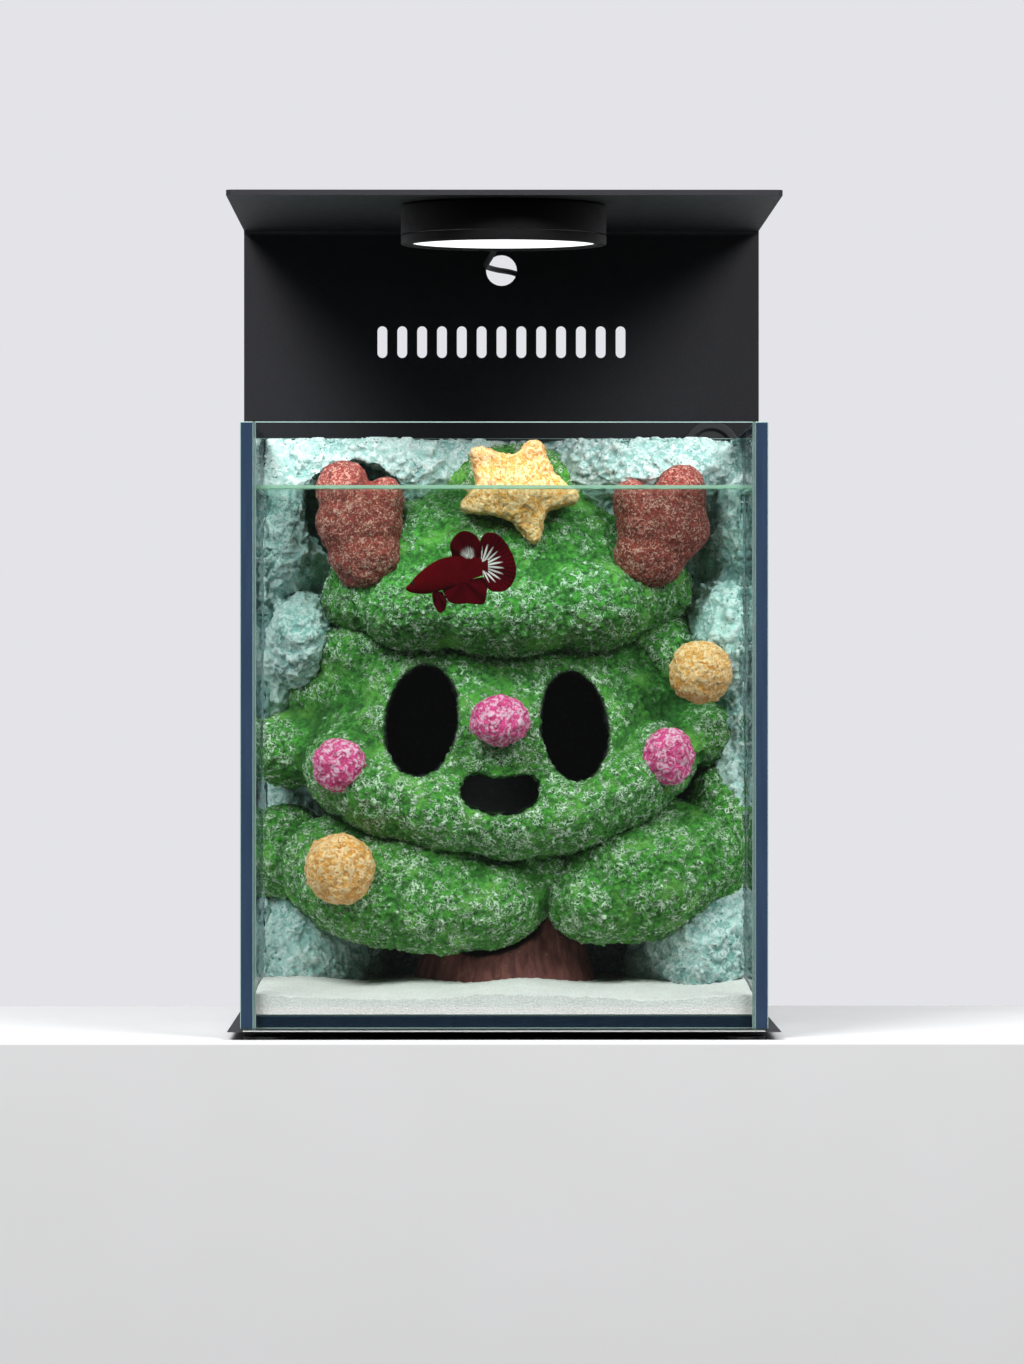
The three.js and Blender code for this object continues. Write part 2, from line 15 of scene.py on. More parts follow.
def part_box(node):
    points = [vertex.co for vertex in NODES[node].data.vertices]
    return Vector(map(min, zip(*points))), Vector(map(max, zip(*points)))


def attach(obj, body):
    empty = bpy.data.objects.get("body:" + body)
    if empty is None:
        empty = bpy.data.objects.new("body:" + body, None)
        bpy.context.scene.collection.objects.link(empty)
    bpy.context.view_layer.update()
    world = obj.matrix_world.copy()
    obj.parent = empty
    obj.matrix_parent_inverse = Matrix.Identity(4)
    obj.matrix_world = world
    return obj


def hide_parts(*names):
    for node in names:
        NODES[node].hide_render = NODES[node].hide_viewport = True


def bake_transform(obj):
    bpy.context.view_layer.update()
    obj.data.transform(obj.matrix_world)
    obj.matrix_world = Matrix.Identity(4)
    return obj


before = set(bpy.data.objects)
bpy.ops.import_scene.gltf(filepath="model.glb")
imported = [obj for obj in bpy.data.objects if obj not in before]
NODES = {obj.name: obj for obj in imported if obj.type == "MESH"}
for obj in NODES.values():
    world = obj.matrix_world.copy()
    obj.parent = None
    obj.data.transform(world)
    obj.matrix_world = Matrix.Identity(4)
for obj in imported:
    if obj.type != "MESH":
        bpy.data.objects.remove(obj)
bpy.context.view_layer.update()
MM = 0.001

# ---------------------------------------------------------------- places read from the frame
TANK_LO, TANK_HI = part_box("glass_left")[0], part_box("glass_right")[1]
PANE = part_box("glass_left")[1].x - TANK_LO.x
ROOM_LO = Vector((TANK_LO.x + PANE, TANK_LO.y + PANE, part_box("glass_bottom")[1].z))
ROOM_HI = Vector((TANK_HI.x - PANE, TANK_HI.y - PANE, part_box("star")[1].z))
INSERT_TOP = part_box("rock_back")[1].z
BACK_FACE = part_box("rock_back")[0].y
WATER_Z = 0.209
LAMP_LO, LAMP_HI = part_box("lamp_housing")[0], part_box("lamp_housing")[1]
LENS_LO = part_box("lamp_bezel")[0].z
LAMP_R = (LAMP_HI.x - LAMP_LO.x) / 2
LAMP_Y = (LAMP_LO.y + LAMP_HI.y) / 2


# ---------------------------------------------------------------- mesh helpers
def new_object(name, mesh):
    obj = bpy.data.objects.new(name, mesh)
    bpy.context.scene.collection.objects.link(obj)
    return obj


def mesh_object(name, points, faces):
    mesh = bpy.data.meshes.new(name)
    mesh.from_pydata([tuple(p) for p in points], [], faces)
    mesh.update()
    return new_object(name, mesh)


def bmesh_object(name, made):
    mesh = bpy.data.meshes.new(name)
    made.to_mesh(mesh)
    made.free()
    return new_object(name, mesh)


def settle(obj):
    """Applies obj's modifiers to its mesh."""
    shown = obj.evaluated_get(bpy.context.evaluated_depsgraph_get())
    mesh = bpy.data.meshes.new_from_object(shown)
    obj.modifiers.clear()
    old = obj.data
    obj.data = mesh
    bpy.data.meshes.remove(old)
    return obj


def modify(obj, kind, **settings):
    """Adds one modifier and applies it."""
    modifier = obj.modifiers.new(kind.lower(), kind)
    for key, value in settings.items():
        setattr(modifier, key, value)
    return settle(obj)


def coordinates(mesh):
    found = np.empty(len(mesh.vertices) * 3, np.float32)
    mesh.vertices.foreach_get("co", found)
    return found.reshape(-1, 3)


def set_coordinates(mesh, points):
    mesh.vertices.foreach_set("co", np.ascontiguousarray(points, np.float32).ravel())
    mesh.update()


def smooth_shaded(obj, angle=None):
    obj.data.polygons.foreach_set("use_smooth", [True] * len(obj.data.polygons))
    if angle is not None:
        obj.data.set_sharp_from_angle(angle=math.radians(angle))
    return obj


def dress(obj, *materials):
    obj.data.materials.clear()
    for material in materials:
        obj.data.materials.append(material)
    return obj


def piece(obj, body, nodes=()):
    """Makes obj a piece of the object: it rides on body and stands for these CAD nodes."""
    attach(obj, body)
    if nodes:
        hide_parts(*nodes)
    return obj


# ---------------------------------------------------------------- material helpers
class Shader:
    """A material's node tree, built up from calls that return sockets."""

    def __init__(self, name):
        self.material = bpy.data.materials.new(name)
        self.material.use_nodes = True
        self.tree = self.material.node_tree
        self.tree.nodes.clear()
        self.output = self.tree.nodes.new("ShaderNodeOutputMaterial")
        self.place = self.node("ShaderNodeTexCoord").outputs["Object"]

    def node(self, kind, values=None, **settings):
        made = self.tree.nodes.new(kind)
        for key, value in settings.items():
            setattr(made, key, value)
        for key, value in (values or {}).items():
            self.feed(made.inputs[key], value)
        return made

    def feed(self, socket, value):
        if isinstance(value, bpy.types.NodeSocket):
            self.tree.links.new(value, socket)
        else:
            socket.default_value = value

    def math(self, operation, *values, clamp=False):
        made = self.node("ShaderNodeMath", operation=operation, use_clamp=clamp)
        for socket, value in zip(made.inputs, values):
            self.feed(socket, value)
        return made.outputs[0]

    def step(self, value, low, high, start=0.0, end=1.0):
        """value's rise from low to high, as a smooth step from start to end."""
        made = self.node("ShaderNodeMapRange", interpolation_type="SMOOTHSTEP")
        for key, given in zip(("Value", "From Min", "From Max", "To Min", "To Max"),
                              (value, low, high, start, end)):
            self.feed(made.inputs[key], given)
        return made.outputs[0]

    def noise(self, size, detail=3.0, rough=0.55, distortion=0.0, place=None):
        """Noise whose features are about size metres across."""
        made = self.node("ShaderNodeTexNoise", {
            "Vector": place or self.place, "Scale": 1 / size, "Detail": detail,
            "Roughness": rough, "Distortion": distortion})
        return made.outputs["Fac"]

    def warped(self, size, reach):
        """Places pushed about by noise of that size, up to reach metres."""
        colour = self.node("ShaderNodeTexNoise", {
            "Vector": self.place, "Scale": 1 / size, "Detail": 2.0}).outputs["Color"]
        middle = self.node("ShaderNodeVectorMath", operation="SUBTRACT")
        self.feed(middle.inputs[0], colour)
        self.feed(middle.inputs[1], (0.5, 0.5, 0.5))
        push = self.node("ShaderNodeVectorMath", operation="SCALE")
        self.feed(push.inputs[0], middle.outputs[0])
        self.feed(push.inputs["Scale"], 2 * reach)
        moved = self.node("ShaderNodeVectorMath", operation="ADD")
        self.feed(moved.inputs[0], self.place)
        self.feed(moved.inputs[1], push.outputs[0])
        return moved.outputs[0]

    def cells(self, size, feature="F1", place=None):
        made = self.node("ShaderNodeTexVoronoi", {"Vector": place or self.place, "Scale": 1 / size},
                         feature=feature)
        return made.outputs["Distance"]

    def threads(self, size, place):
        """Thin curling lines about size metres apart."""
        level = self.noise(size, 1.5, 0.5, 0.4, place)
        return self.step(self.math("ABSOLUTE", self.math("SUBTRACT", level, 0.5)), 0.012, 0.055, 1.0, 0.0)

    def mix(self, amount, low, high, kind="MIX"):
        made = self.node("ShaderNodeMix", data_type="RGBA", blend_type=kind)
        self.feed(made.inputs["Factor"], amount)
        self.feed(made.inputs["A"], low)
        self.feed(made.inputs["B"], high)
        return made.outputs["Result"]

    def attribute(self, name):
        return self.node("ShaderNodeAttribute", attribute_name=name).outputs["Fac"]

    def bump(self, height, depth, strength=1.0):
        return self.node("ShaderNodeBump", {"Height": height, "Distance": depth, "Strength": strength}
                         ).outputs["Normal"]

    def surface(self, **values):
        """Ends the material in a Principled BSDF."""
        keys = {key.replace("_", " "): value for key, value in values.items()}
        shader = self.node("ShaderNodeBsdfPrincipled", keys)
        self.tree.links.new(shader.outputs[0], self.output.inputs["Surface"])
        return self.material

    def end(self, socket):
        self.tree.links.new(socket, self.output.inputs["Surface"])
        return self.material


def rgb(red, green, blue):
    return (red, green, blue, 1.0)


# ---------------------------------------------------------------- paints of the sculpted insert
def dry_brushed(name, deep, body, light, strand, density, size, bump=0.0016):
    """Rough paint with thin pale strands that lie thickest where the form swells outwards, with painted
    shade darkening its folds and near-black painted shade inside the face's openings.
    """
    s = Shader(name)
    relief = s.attribute("relief")
    lines = s.math("MAXIMUM", s.threads(size, s.warped(2.0 * size, 0.6 * size)),
                   s.threads(0.62 * size, s.warped(3.1 * size, 1.1 * size)))
    broken = s.step(s.noise(1.3 * size, 3.0), 0.42, 0.56)
    patches = s.noise(4.5 * size, 3.0)
    raised = s.math("ADD", s.math("MULTIPLY", relief, 1.5), s.math("MULTIPLY", patches, 0.9))
    spread = s.step(raised, 1.44 - density, 1.74 - density)
    strands = s.math("MULTIPLY", s.math("MULTIPLY", lines, broken), spread, clamp=True)
    tone = s.step(s.noise(0.7 * size, 4.0, 0.65), 0.33, 0.68)
    # Painted shade: the ground turns to the deep tone where the surface folds in, as well as at random.
    ground = s.mix(s.math("MULTIPLY", tone, s.step(relief, 0.3, 0.6, 0.3, 1.0)), deep, body)
    ground = s.mix(s.step(s.noise(5 * size, 2.0), 0.5, 0.75, 0.0, 0.6), ground, light)
    colour = s.mix(strands, ground, strand)
    # Painted shade: near-black inside the eyes, the mouth and the cave.
    colour = s.mix(s.attribute("hollow"), colour, rgb(0.001, 0.003, 0.002))
    height = s.math("ADD", s.math("MULTIPLY", strands, 0.5), s.noise(0.7 * size, 4.0, 0.65))
    return s.surface(Base_Color=colour, Roughness=0.82, Normal=s.bump(height, bump, 1.0))


def rock_paint():
    s = Shader("rock_paint")
    relief = s.attribute("relief")
    place = s.warped(0.005, 0.0026)
    crust = s.noise(0.0026, 5.0, 0.7, 1.2)
    pits = s.step(s.cells(0.0021, "F1", place), 0.06, 0.3)
    pores = s.math("MAXIMUM", pits, s.step(s.noise(0.009, 3.0), 0.45, 0.55))
    white = s.step(s.math("ADD", crust, s.math("MULTIPLY", relief, 0.26)), 0.58, 0.74)
    colour = s.mix(s.step(s.noise(0.016, 3.0), 0.35, 0.65), rgb(0.24, 0.47, 0.44), rgb(0.42, 0.64, 0.6))
    colour = s.mix(white, colour, rgb(0.66, 0.77, 0.75))
    colour = s.mix(pores, rgb(0.1, 0.2, 0.21), colour)
    # Painted shade: darker teal where the surface folds in.
    colour = s.mix(s.step(relief, 0.12, 0.5, 0.35, 1.0), rgb(0.08, 0.19, 0.19), colour)
    height = s.math("ADD", crust, s.math("MULTIPLY", pores, 0.4))
    return s.surface(Base_Color=colour, Roughness=0.9, Normal=s.bump(height, 0.0011, 1.0))


def fibrous(name, deep, body, pale, size, amount):
    """Rough paint with a felt of short curled fibres."""
    s = Shader(name)
    relief = s.attribute("relief")
    fibres = s.noise(size, 4.0, 0.62, 2.2)
    fine = s.noise(0.75 * size, 3.0, 0.55, 1.4)
    colour = s.mix(s.step(fibres, 0.36, 0.6), deep, body)
    lift = s.math("ADD", fine, s.math("MULTIPLY", relief, 0.18))
    colour = s.mix(s.step(lift, 0.62 - amount, 0.8 - amount), colour, pale)
    height = s.math("ADD", fibres, s.math("MULTIPLY", fine, 0.5))
    return s.surface(Base_Color=colour, Roughness=0.75, Normal=s.bump(height, 0.0009, 1.0))


def trunk_paint():
    s = Shader("trunk_brown")
    stretched = s.node("ShaderNodeMapping", {"Vector": s.place, "Scale": (1.0, 1.0, 0.12)}).outputs[0]
    grain = s.noise(0.0028, 4.0, 0.6, 0.4, stretched)
    colour = s.mix(s.step(grain, 0.35, 0.65), rgb(0.085, 0.018, 0.015), rgb(0.19, 0.056, 0.046))
    colour = s.mix(s.step(s.noise(0.0016, 3.0), 0.66, 0.78), colour, rgb(0.3, 0.2, 0.18))
    return s.surface(Base_Color=colour, Roughness=0.8, Normal=s.bump(grain, 0.0008, 0.9))


def sand_paint():
    s = Shader("sand")
    grains = s.cells(0.0007)
    colour = s.mix(s.step(grains, 0.1, 0.7), rgb(0.86, 0.8, 0.79), rgb(0.66, 0.62, 0.61))
    colour = s.mix(s.step(s.noise(0.0009, 2.0), 0.66, 0.74), colour, rgb(0.5, 0.55, 0.52))
    colour = s.mix(s.step(s.noise(0.014, 3.0), 0.35, 0.7, 0.0, 0.35), colour, rgb(0.8, 0.79, 0.79))
    return s.surface(Base_Color=colour, Roughness=0.85, Normal=s.bump(grains, 0.0003, 0.7))


# ---------------------------------------------------------------- hard materials
def powder_coat(name="black_steel", tone=0.0095, grain=0.00045):
    s = Shader(name)
    texture = s.noise(grain, 2.0, 0.5)
    specks = s.step(s.noise(grain * 1.6, 1.0), 0.6, 0.72, 0.0, 0.5)
    colour = s.mix(specks, rgb(tone, tone, 1.25 * tone), rgb(2.1 * tone, 2.1 * tone, 2.6 * tone))
    rough = s.step(s.noise(0.004, 3.0), 0.3, 0.7, 0.58, 0.64)
    return s.surface(Base_Color=colour, Roughness=rough, Normal=s.bump(texture, 0.00012, 0.6),
                     Specular_IOR_Level=0.2)


def soft_rubber(name, tone):
    s = Shader(name)
    mottle = s.noise(0.002, 4.0)
    colour = s.mix(mottle, rgb(*[0.8 * c for c in tone]), rgb(*[1.2 * c for c in tone]))
    return s.surface(Base_Color=colour, Roughness=0.62, Normal=s.bump(s.noise(0.0006), 0.0001, 0.4))


def bright_metal():
    s = Shader("bright_metal")
    brushed = s.node("ShaderNodeMapping", {"Vector": s.place, "Scale": (0.06, 1.0, 1.0)}).outputs[0]
    scratches = s.noise(0.0003, 3.0, 0.6, 0.0, brushed)
    return s.surface(Base_Color=rgb(0.72, 0.73, 0.75), Metallic=1.0,
                     Roughness=s.step(scratches, 0.3, 0.7, 0.22, 0.38))


def board_paint():
    s = Shader("board")
    tone = s.mix(s.noise(0.004), rgb(0.78, 0.8, 0.78), rgb(0.9, 0.92, 0.9))
    return s.surface(Base_Color=tone, Roughness=0.35)


def lens_glow():
    s = Shader("lens")
    spots = s.step(s.cells(0.009), 0.0, 0.6, 1.0, 0.93)
    strength = s.math("MULTIPLY", spots, 1.6)
    glow = s.node("ShaderNodeEmission", {"Color": rgb(1.0, 1.0, 1.0), "Strength": strength})
    return s.end(glow.outputs[0])


def clear(name, tint, shine=1.0, painted_sheen=None, painted_sheen_amount=0.0, ior=1.5):
    """A clear face: light passes straight through with a tint, and gloss lies on top.

    Where given, a diffuse colour is mixed into it by the amount that follows, as a painted highlight."""
    s = Shader(name)
    through = s.node("ShaderNodeBsdfTransparent", {"Color": rgb(*tint)})
    gloss = s.node("ShaderNodeBsdfGlossy", {"Color": rgb(1, 1, 1), "Roughness": 0.02})
    facing = s.node("ShaderNodeFresnel", {"IOR": ior}).outputs[0]
    body = through.outputs[0]
    if painted_sheen:
        painted_sheen_bsdf = s.node("ShaderNodeBsdfDiffuse", {"Color": rgb(*painted_sheen)})
        first = s.node("ShaderNodeMixShader", {"Fac": painted_sheen_amount, 1: body, 2: painted_sheen_bsdf.outputs[0]})
        body = first.outputs[0]
    both = s.node("ShaderNodeMixShader", {"Fac": s.math("MULTIPLY", facing, shine), 1: body,
                                          2: gloss.outputs[0]})
    return s.end(both.outputs[0])


def pane_edge():
    """A pane's ground edge, where the glass is seen through its whole width."""
    s = Shader("pane_edge")
    streaks = s.node("ShaderNodeMapping", {"Vector": s.place, "Scale": (1.0, 1.0, 0.08)}).outputs[0]
    tone = s.mix(s.noise(0.0022, 3.0, 0.5, 0.0, streaks), rgb(0.009, 0.018, 0.036), rgb(0.018, 0.033, 0.06))
    return s.surface(Base_Color=tone, Roughness=0.16, Specular_IOR_Level=0.5)


def silicone_bead():
    s = Shader("silicone")
    tone = s.mix(s.noise(0.003, 3.0), rgb(0.06, 0.11, 0.1), rgb(0.1, 0.17, 0.15))
    return s.surface(Base_Color=tone, Roughness=0.4, Alpha=0.6)


PAINTS = {
    "green": dry_brushed("tree_green", rgb(0.01, 0.08, 0.008), rgb(0.085, 0.43, 0.038),
                         rgb(0.2, 0.54, 0.08), rgb(0.76, 0.93, 0.7), 0.36, 0.0026),
    "rock": rock_paint(),
    "gold": fibrous("gold_paint", rgb(0.6, 0.22, 0.03), rgb(0.88, 0.42, 0.09), rgb(0.93, 0.64, 0.35),
                    0.0028, 0.1),
    "pink": fibrous("pink_paint", rgb(0.52, 0.02, 0.13), rgb(0.76, 0.06, 0.27), rgb(0.86, 0.5, 0.65),
                    0.0034, 0.07),
    "antler": fibrous("antler_red", rgb(0.1, 0.01, 0.007), rgb(0.34, 0.04, 0.028),
                      rgb(0.58, 0.3, 0.24), 0.002, 0.035),
    "trunk": trunk_paint(),
    "sand": sand_paint(),
}
STEEL = powder_coat()
LAMP_BLACK = powder_coat("lamp_black", 0.004, 0.0003)
RUBBER = soft_rubber("black_rubber", (0.008, 0.008, 0.009))
JACKET = soft_rubber("lead_black", (0.02, 0.02, 0.022))
PAD = soft_rubber("pad", (0.6, 0.64, 0.62))
FOOT = soft_rubber("foot_rubber", (0.06, 0.06, 0.062))
METAL = bright_metal()
BOARD = board_paint()
GLASS_FACE = clear("glass_face", (0.972, 0.99, 0.983), 0.6)
GLASS_EDGE = pane_edge()
SEAM = silicone_bead()
GLASS_CHAMFER = soft_rubber("glass_chamfer", (0.16, 0.24, 0.22))
CLEAR_SEAM = clear("silicone_clear", (0.9, 0.95, 0.95), 0.3)

# ---------------------------------------------------------------- the sculpted insert
# A lump is an ellipsoid in millimetres: its middle, its half-sizes, and its lean in the front view.
# The star's rim goes round as (degrees, millimetres from its middle), tips and dents in turn.
STAR_X, STAR_Z = 5.4, 210.9
STAR_RIM = [(62, 20.5), (72, 20.5), (94, 12.8), (134, 23.5), (143, 23.5), (173, 15.5), (196, 23.5),
            (204, 23.5), (253, 12), (285, 23.2), (294, 23.2), (322, 14), (347, 25), (355, 25), (22, 15.6)]
HOLE = {"x": -58.7, "z": 202.6, "r": 20.0}
EYES = [(-31.8, 119.6, 14.0, 21.8, 8.0), (27.8, 117.4, 13.0, 21.4, -7.4)]
MOUTH = [(-10.2, 92.4, 6.6, 6.8), (-3.5, 90.6, 8.0, 7.6), (3.0, 90.6, 7.6, 7.6), (8.4, 92.2, 5.9, 6.6)]

CAVE = (-3, 24, 106, 60, 30, 28, 0)

TREE_TOP = [
    (-2, 30, 178, 67, 44, 35, 0), (6, 38, 205, 36, 32, 25, 0), (-52, 17, 170, 20, 22, 16.5, 20),
    (-29, 3, 165.5, 28, 27, 19, 8), (2, -2, 162.5, 34, 27, 18.5, 0), (31, 3, 166, 28, 27, 19, -8),
    (49, 15, 170, 19, 23, 16.5, -18), (59, 30, 171, 17, 22, 17, 0),
]
TREE_FACE = [
    (-3, 22, 108, 76, 48, 40, 0), (-4, 34, 130, 82, 46, 33, 0), (-61, -1, 100, 18, 24, 17, -50),
    (-44, -8, 90, 26, 27, 17.5, -22), (-22, -13, 84.5, 28, 28, 17, -8), (2, -14, 82, 28, 28, 17, 0),
    (25, -13, 84.5, 26, 28, 17, 10), (44, -8, 92, 24, 27, 17.5, 26), (59, -1, 104, 17, 24, 17, 55),
    (-82, 30, 108, 24, 26, 15, 0), (80, 24, 113, 20, 28, 14.5, 0), (62, 34, 146, 20, 30, 18, 0),
    (-56, 30, 146, 22, 30, 16, 0),
]
TREE_SKIRT_LEFT = [
    (-34, 24, 58, 54, 56, 27, 0), (-48, -2, 52, 34, 30, 21, -10), (-26, -4, 49.5, 32, 32, 21.5, 0),
    (-6, 0, 50, 24, 31, 20, 6), (15, 8, 63, 22, 27, 21, 0), (-66, 8, 62, 22, 26, 20, -35),
    (-86, 34, 67, 18, 28, 20, 0),
]
TREE_SKIRT_RIGHT = [
    (54, 24, 62, 46, 56, 27, 10), (36, -2, 51, 20, 30, 19, 0), (56, 0, 55.5, 32, 32, 22, 14),
    (76, 8, 66, 24, 30, 22, 32), (88, 18, 80, 16, 30, 26, 0),
]
ANTLER_LEFT = [(-56.5, 0, 197.4, 17.4, 13, 14, 0), (-53.6, 0, 185, 14.8, 13, 14, 0),
               (-62.8, 2, 211.2, 10.6, 11, 11.6, 0), (-46.4, 2, 206.6, 7.8, 10, 9.8, 0)]
ANTLER_RIGHT = [(63, 0, 196.5, 18.4, 13, 16, -8), (57.6, 0, 184.6, 14.6, 12, 13.2, 0),
                (69.8, 2, 209.4, 10.6, 11, 11.2, 0), (50.6, 2, 205.4, 7.8, 10, 9.6, 0)]
ROCKS = {
    "boulder_left": [(-79, 36, 151, 17, 34, 22, 0)],
    "rock_left_column": [(-88, 50, 196, 24, 38, 38, 0), (-90, 54, 140, 22, 30, 40, 0),
                         (-70, 58, 180, 18, 26, 30, 0)],
    "rock_right_column": [(96, 44, 192, 19, 40, 42, 0), (90, 30, 152, 18, 40, 30, 0),
                          (93, 30, 96, 14, 40, 40, 0), (80, 52, 184, 18, 24, 40, 0)],
    "rock_top_left": [(-52, 46, 219, 44, 34, 22, 0), (-22, 52, 214, 26, 30, 26, 0)],
    "rock_top_right": [(58, 40, 219, 42, 38, 20, 0), (34, 50, 208, 26, 30, 26, 0),
                       (40, 40, 198, 14, 26, 18, 0)],
    "rock_foot_left": [(-80, 46, 28, 30, 38, 31, 0), (-66, 54, 22, 22, 22, 22, 0)],
    "rock_foot_right": [(82, 28, 32, 28, 46, 32, 0), (72, 44, 22, 24, 34, 22, 0)],
}


def ellipsoids(lumps, detail=5):
    """The lumps as one mesh of whole, overlapping balls."""
    made = bmesh.new()
    for x, y, z, rx, ry, rz, lean in lumps:
        place = (Matrix.Translation(Vector((x, y, z)) * MM)
                 @ Matrix.Rotation(-math.radians(lean), 4, "Y")
                 @ Matrix.Diagonal((rx * MM, ry * MM, rz * MM, 1)))
        bmesh.ops.create_icosphere(made, subdivisions=detail, radius=1, matrix=place)
    return bmesh_object("lumps", made)


def bar(outline, y0, y1):
    """A closed bar along Y with this (x, z) outline."""
    made = bmesh.new()
    rings = [[made.verts.new((x * MM, y * MM, z * MM)) for x, z in outline] for y in (y0, y1)]
    made.faces.new(rings[0])
    made.faces.new(rings[1])
    for i in range(len(outline)):
        j = (i + 1) % len(outline)
        made.faces.new((rings[0][i], rings[0][j], rings[1][j], rings[1][i]))
    bmesh.ops.recalc_face_normals(made, faces=made.faces)
    return bmesh_object("bar", made)


def oval(x, z, rx, rz, lean, points=48):
    """Points of a leaning ellipse."""
    c, s = math.cos(math.radians(lean)), math.sin(math.radians(lean))
    turns = [2 * math.pi * i / points for i in range(points)]
    return [(x + rx * math.cos(a) * c + rz * math.sin(a) * s,
             z - rx * math.cos(a) * s + rz * math.sin(a) * c) for a in turns]


def join(objects, name):
    """One object of the objects' meshes."""
    made = bmesh.new()
    for obj in objects:
        made.from_mesh(obj.data)
        bpy.data.objects.remove(obj)
    return bmesh_object(name, made)


def remesh(obj, size):
    return modify(obj, "REMESH", mode="VOXEL", voxel_size=size * MM)


def cut_away(obj, cutter):
    modify(obj, "BOOLEAN", operation="DIFFERENCE", object=cutter, solver="EXACT")
    bpy.data.objects.remove(cutter)
    return obj


def crumple(obj, kind, size, depth, detail=2, hard=False):
    """Pushes the surface in and out along its normals by a noise of that size."""
    texture = bpy.data.textures.new(f"{kind}_{size}", kind)
    texture.noise_scale = size * MM
    if kind == "CLOUDS":
        texture.noise_depth = detail
        texture.noise_type = "HARD_NOISE" if hard else "SOFT_NOISE"
    return modify(obj, "DISPLACE", texture=texture, texture_coords="GLOBAL", strength=depth * MM,
                  mid_level=0.5)


def keep_inside(obj, front=None):
    """Flattens what would pass the panes, the slab behind or the insert's level top."""
    points = coordinates(obj.data)
    margin = 0.0004
    near = ROOM_LO.y + margin if front is None else front
    low = [ROOM_LO.x + margin, near, ROOM_LO.z + margin]
    high = [ROOM_HI.x - margin, ROOM_HI.y - margin, INSERT_TOP]
    set_coordinates(obj.data, np.clip(points, low, high))


def standing_out(obj, rounds, reach):
    """How far each point stands out of the form softened by that many rounds, from 0 to 1."""
    soft = obj.copy()
    soft.data = obj.data.copy()
    bpy.context.scene.collection.objects.link(soft)
    modify(soft, "SMOOTH", factor=1.0, iterations=rounds)
    lift = coordinates(obj.data) - coordinates(soft.data)
    bpy.data.objects.remove(soft)
    normals = np.empty(lift.size, np.float32)
    obj.data.vertices.foreach_get("normal", normals)
    out = (lift * normals.reshape(-1, 3)).sum(1)
    return np.clip(0.5 + out / (2 * reach * MM), 0, 1)


def mark_relief(obj, wide=True):
    """Stores where the surface swells (towards 1) and where it folds in (towards 0)."""
    value = standing_out(obj, 60, 2.2)
    # The wide pass also finds broad recesses, which the green and rock paints darken as painted shade.
    if wide:
        value = 0.5 * value + 0.5 * standing_out(obj, 320, 5.0)
    layer = obj.data.attributes.new("relief", "FLOAT", "POINT")
    layer.data.foreach_set("value", value.astype(np.float32))


def sculpt(name, lumps, paint, voxel=0.8, soften=6, cutters=None, rough=(), wide=True):
    """One piece of the insert: lumps fused, hollowed, softened, crumpled and painted."""
    obj = remesh(ellipsoids(lumps) if isinstance(lumps, list) else lumps, 1.0)
    modify(obj, "SMOOTH", factor=0.8, iterations=3 * soften)
    if cutters:
        cut_away(obj, cutters)
        remesh(obj, voxel)
        modify(obj, "SMOOTH", factor=0.7, iterations=soften)
    elif voxel != 1.0:
        remesh(obj, voxel)
    keep_inside(obj)
    for kind, size, depth, hard in rough:
        crumple(obj, kind, size, depth, 2, hard)
    keep_inside(obj)
    mark_relief(obj, wide)
    if name == "tree_face":
        mark_hollow(obj)
    obj.name = name + "_form"
    smooth_shaded(obj)
    dress(obj, PAINTS[paint])
    return piece(obj, "tank", [name])


GREEN_ROUGH = [("CLOUDS", 14, 1.5, False), ("CLOUDS", 4.6, 2.4, False), ("CLOUDS", 2.2, 2.0, True)]
ROCK_ROUGH = [("CLOUDS", 18, 4.5, False), ("CLOUDS", 7, 4.2, True), ("CLOUDS", 2.4, 1.8, True)]
BALL_ROUGH = [("CLOUDS", 7, 2.6, False), ("CLOUDS", 2.6, 1.2, True)]


def face_cutter():
    """The eyes, the mouth and the cave that they open into."""
    deep = (-60, 50)
    holes = [bar(oval(*eye), *deep) for eye in EYES]
    holes += [bar(oval(x, z, rx, rz, 0), *deep) for x, z, rx, rz in MOUTH]
    holes.append(ellipsoids([CAVE], 4))
    return remesh(join(holes, "face_cutter"), 1.0)


def mark_hollow(obj):
    """Stores where the face's openings and the cave lie, from 0 outside them to 1 within, where the paint
    puts near-black painted shade.
    """
    x, y, z = (coordinates(obj.data) / MM).T
    wall = np.full(len(x), 9.0)
    for ex, ez, rx, rz, lean in [*EYES, *[(*m, 0.0) for m in MOUTH]]:
        c, s = math.cos(math.radians(lean)), math.sin(math.radians(lean))
        across = (x - ex) * c - (z - ez) * s
        along = (x - ex) * s + (z - ez) * c
        wall = np.minimum(wall, np.hypot(across / rx, along / rz))
    cx, cy, cz, rx, ry, rz, lean = CAVE
    inside = np.sqrt(((x - cx) / rx) ** 2 + ((y - cy) / ry) ** 2 + ((z - cz) / rz) ** 2)
    value = np.clip((1.1 - inside) / 0.1, 0, 1)
    value = np.maximum(value, np.clip((1.12 - wall) / 0.12, 0, 1) * np.clip((y + 27) / 13, 0, 1))
    layer = obj.data.attributes.new("hollow", "FLOAT", "POINT")
    layer.data.foreach_set("value", (value * value * (3 - 2 * value)).astype(np.float32))


def hole_cutter():
    return bar(oval(HOLE["x"], HOLE["z"], HOLE["r"], HOLE["r"], 0), -60, 63)


def star_form():
    """A five-pointed star with blunt, swollen points."""
    outline = [(STAR_X + r * math.cos(math.radians(a)), STAR_Z + r * math.sin(math.radians(a)))
               for a, r in STAR_RIM]
    slab = bar(outline, -17, 2)
    swell = ellipsoids([(STAR_X, -13, STAR_Z, 13, 8, 13, 0)], 4)
    return join([slab, swell], "star_form")


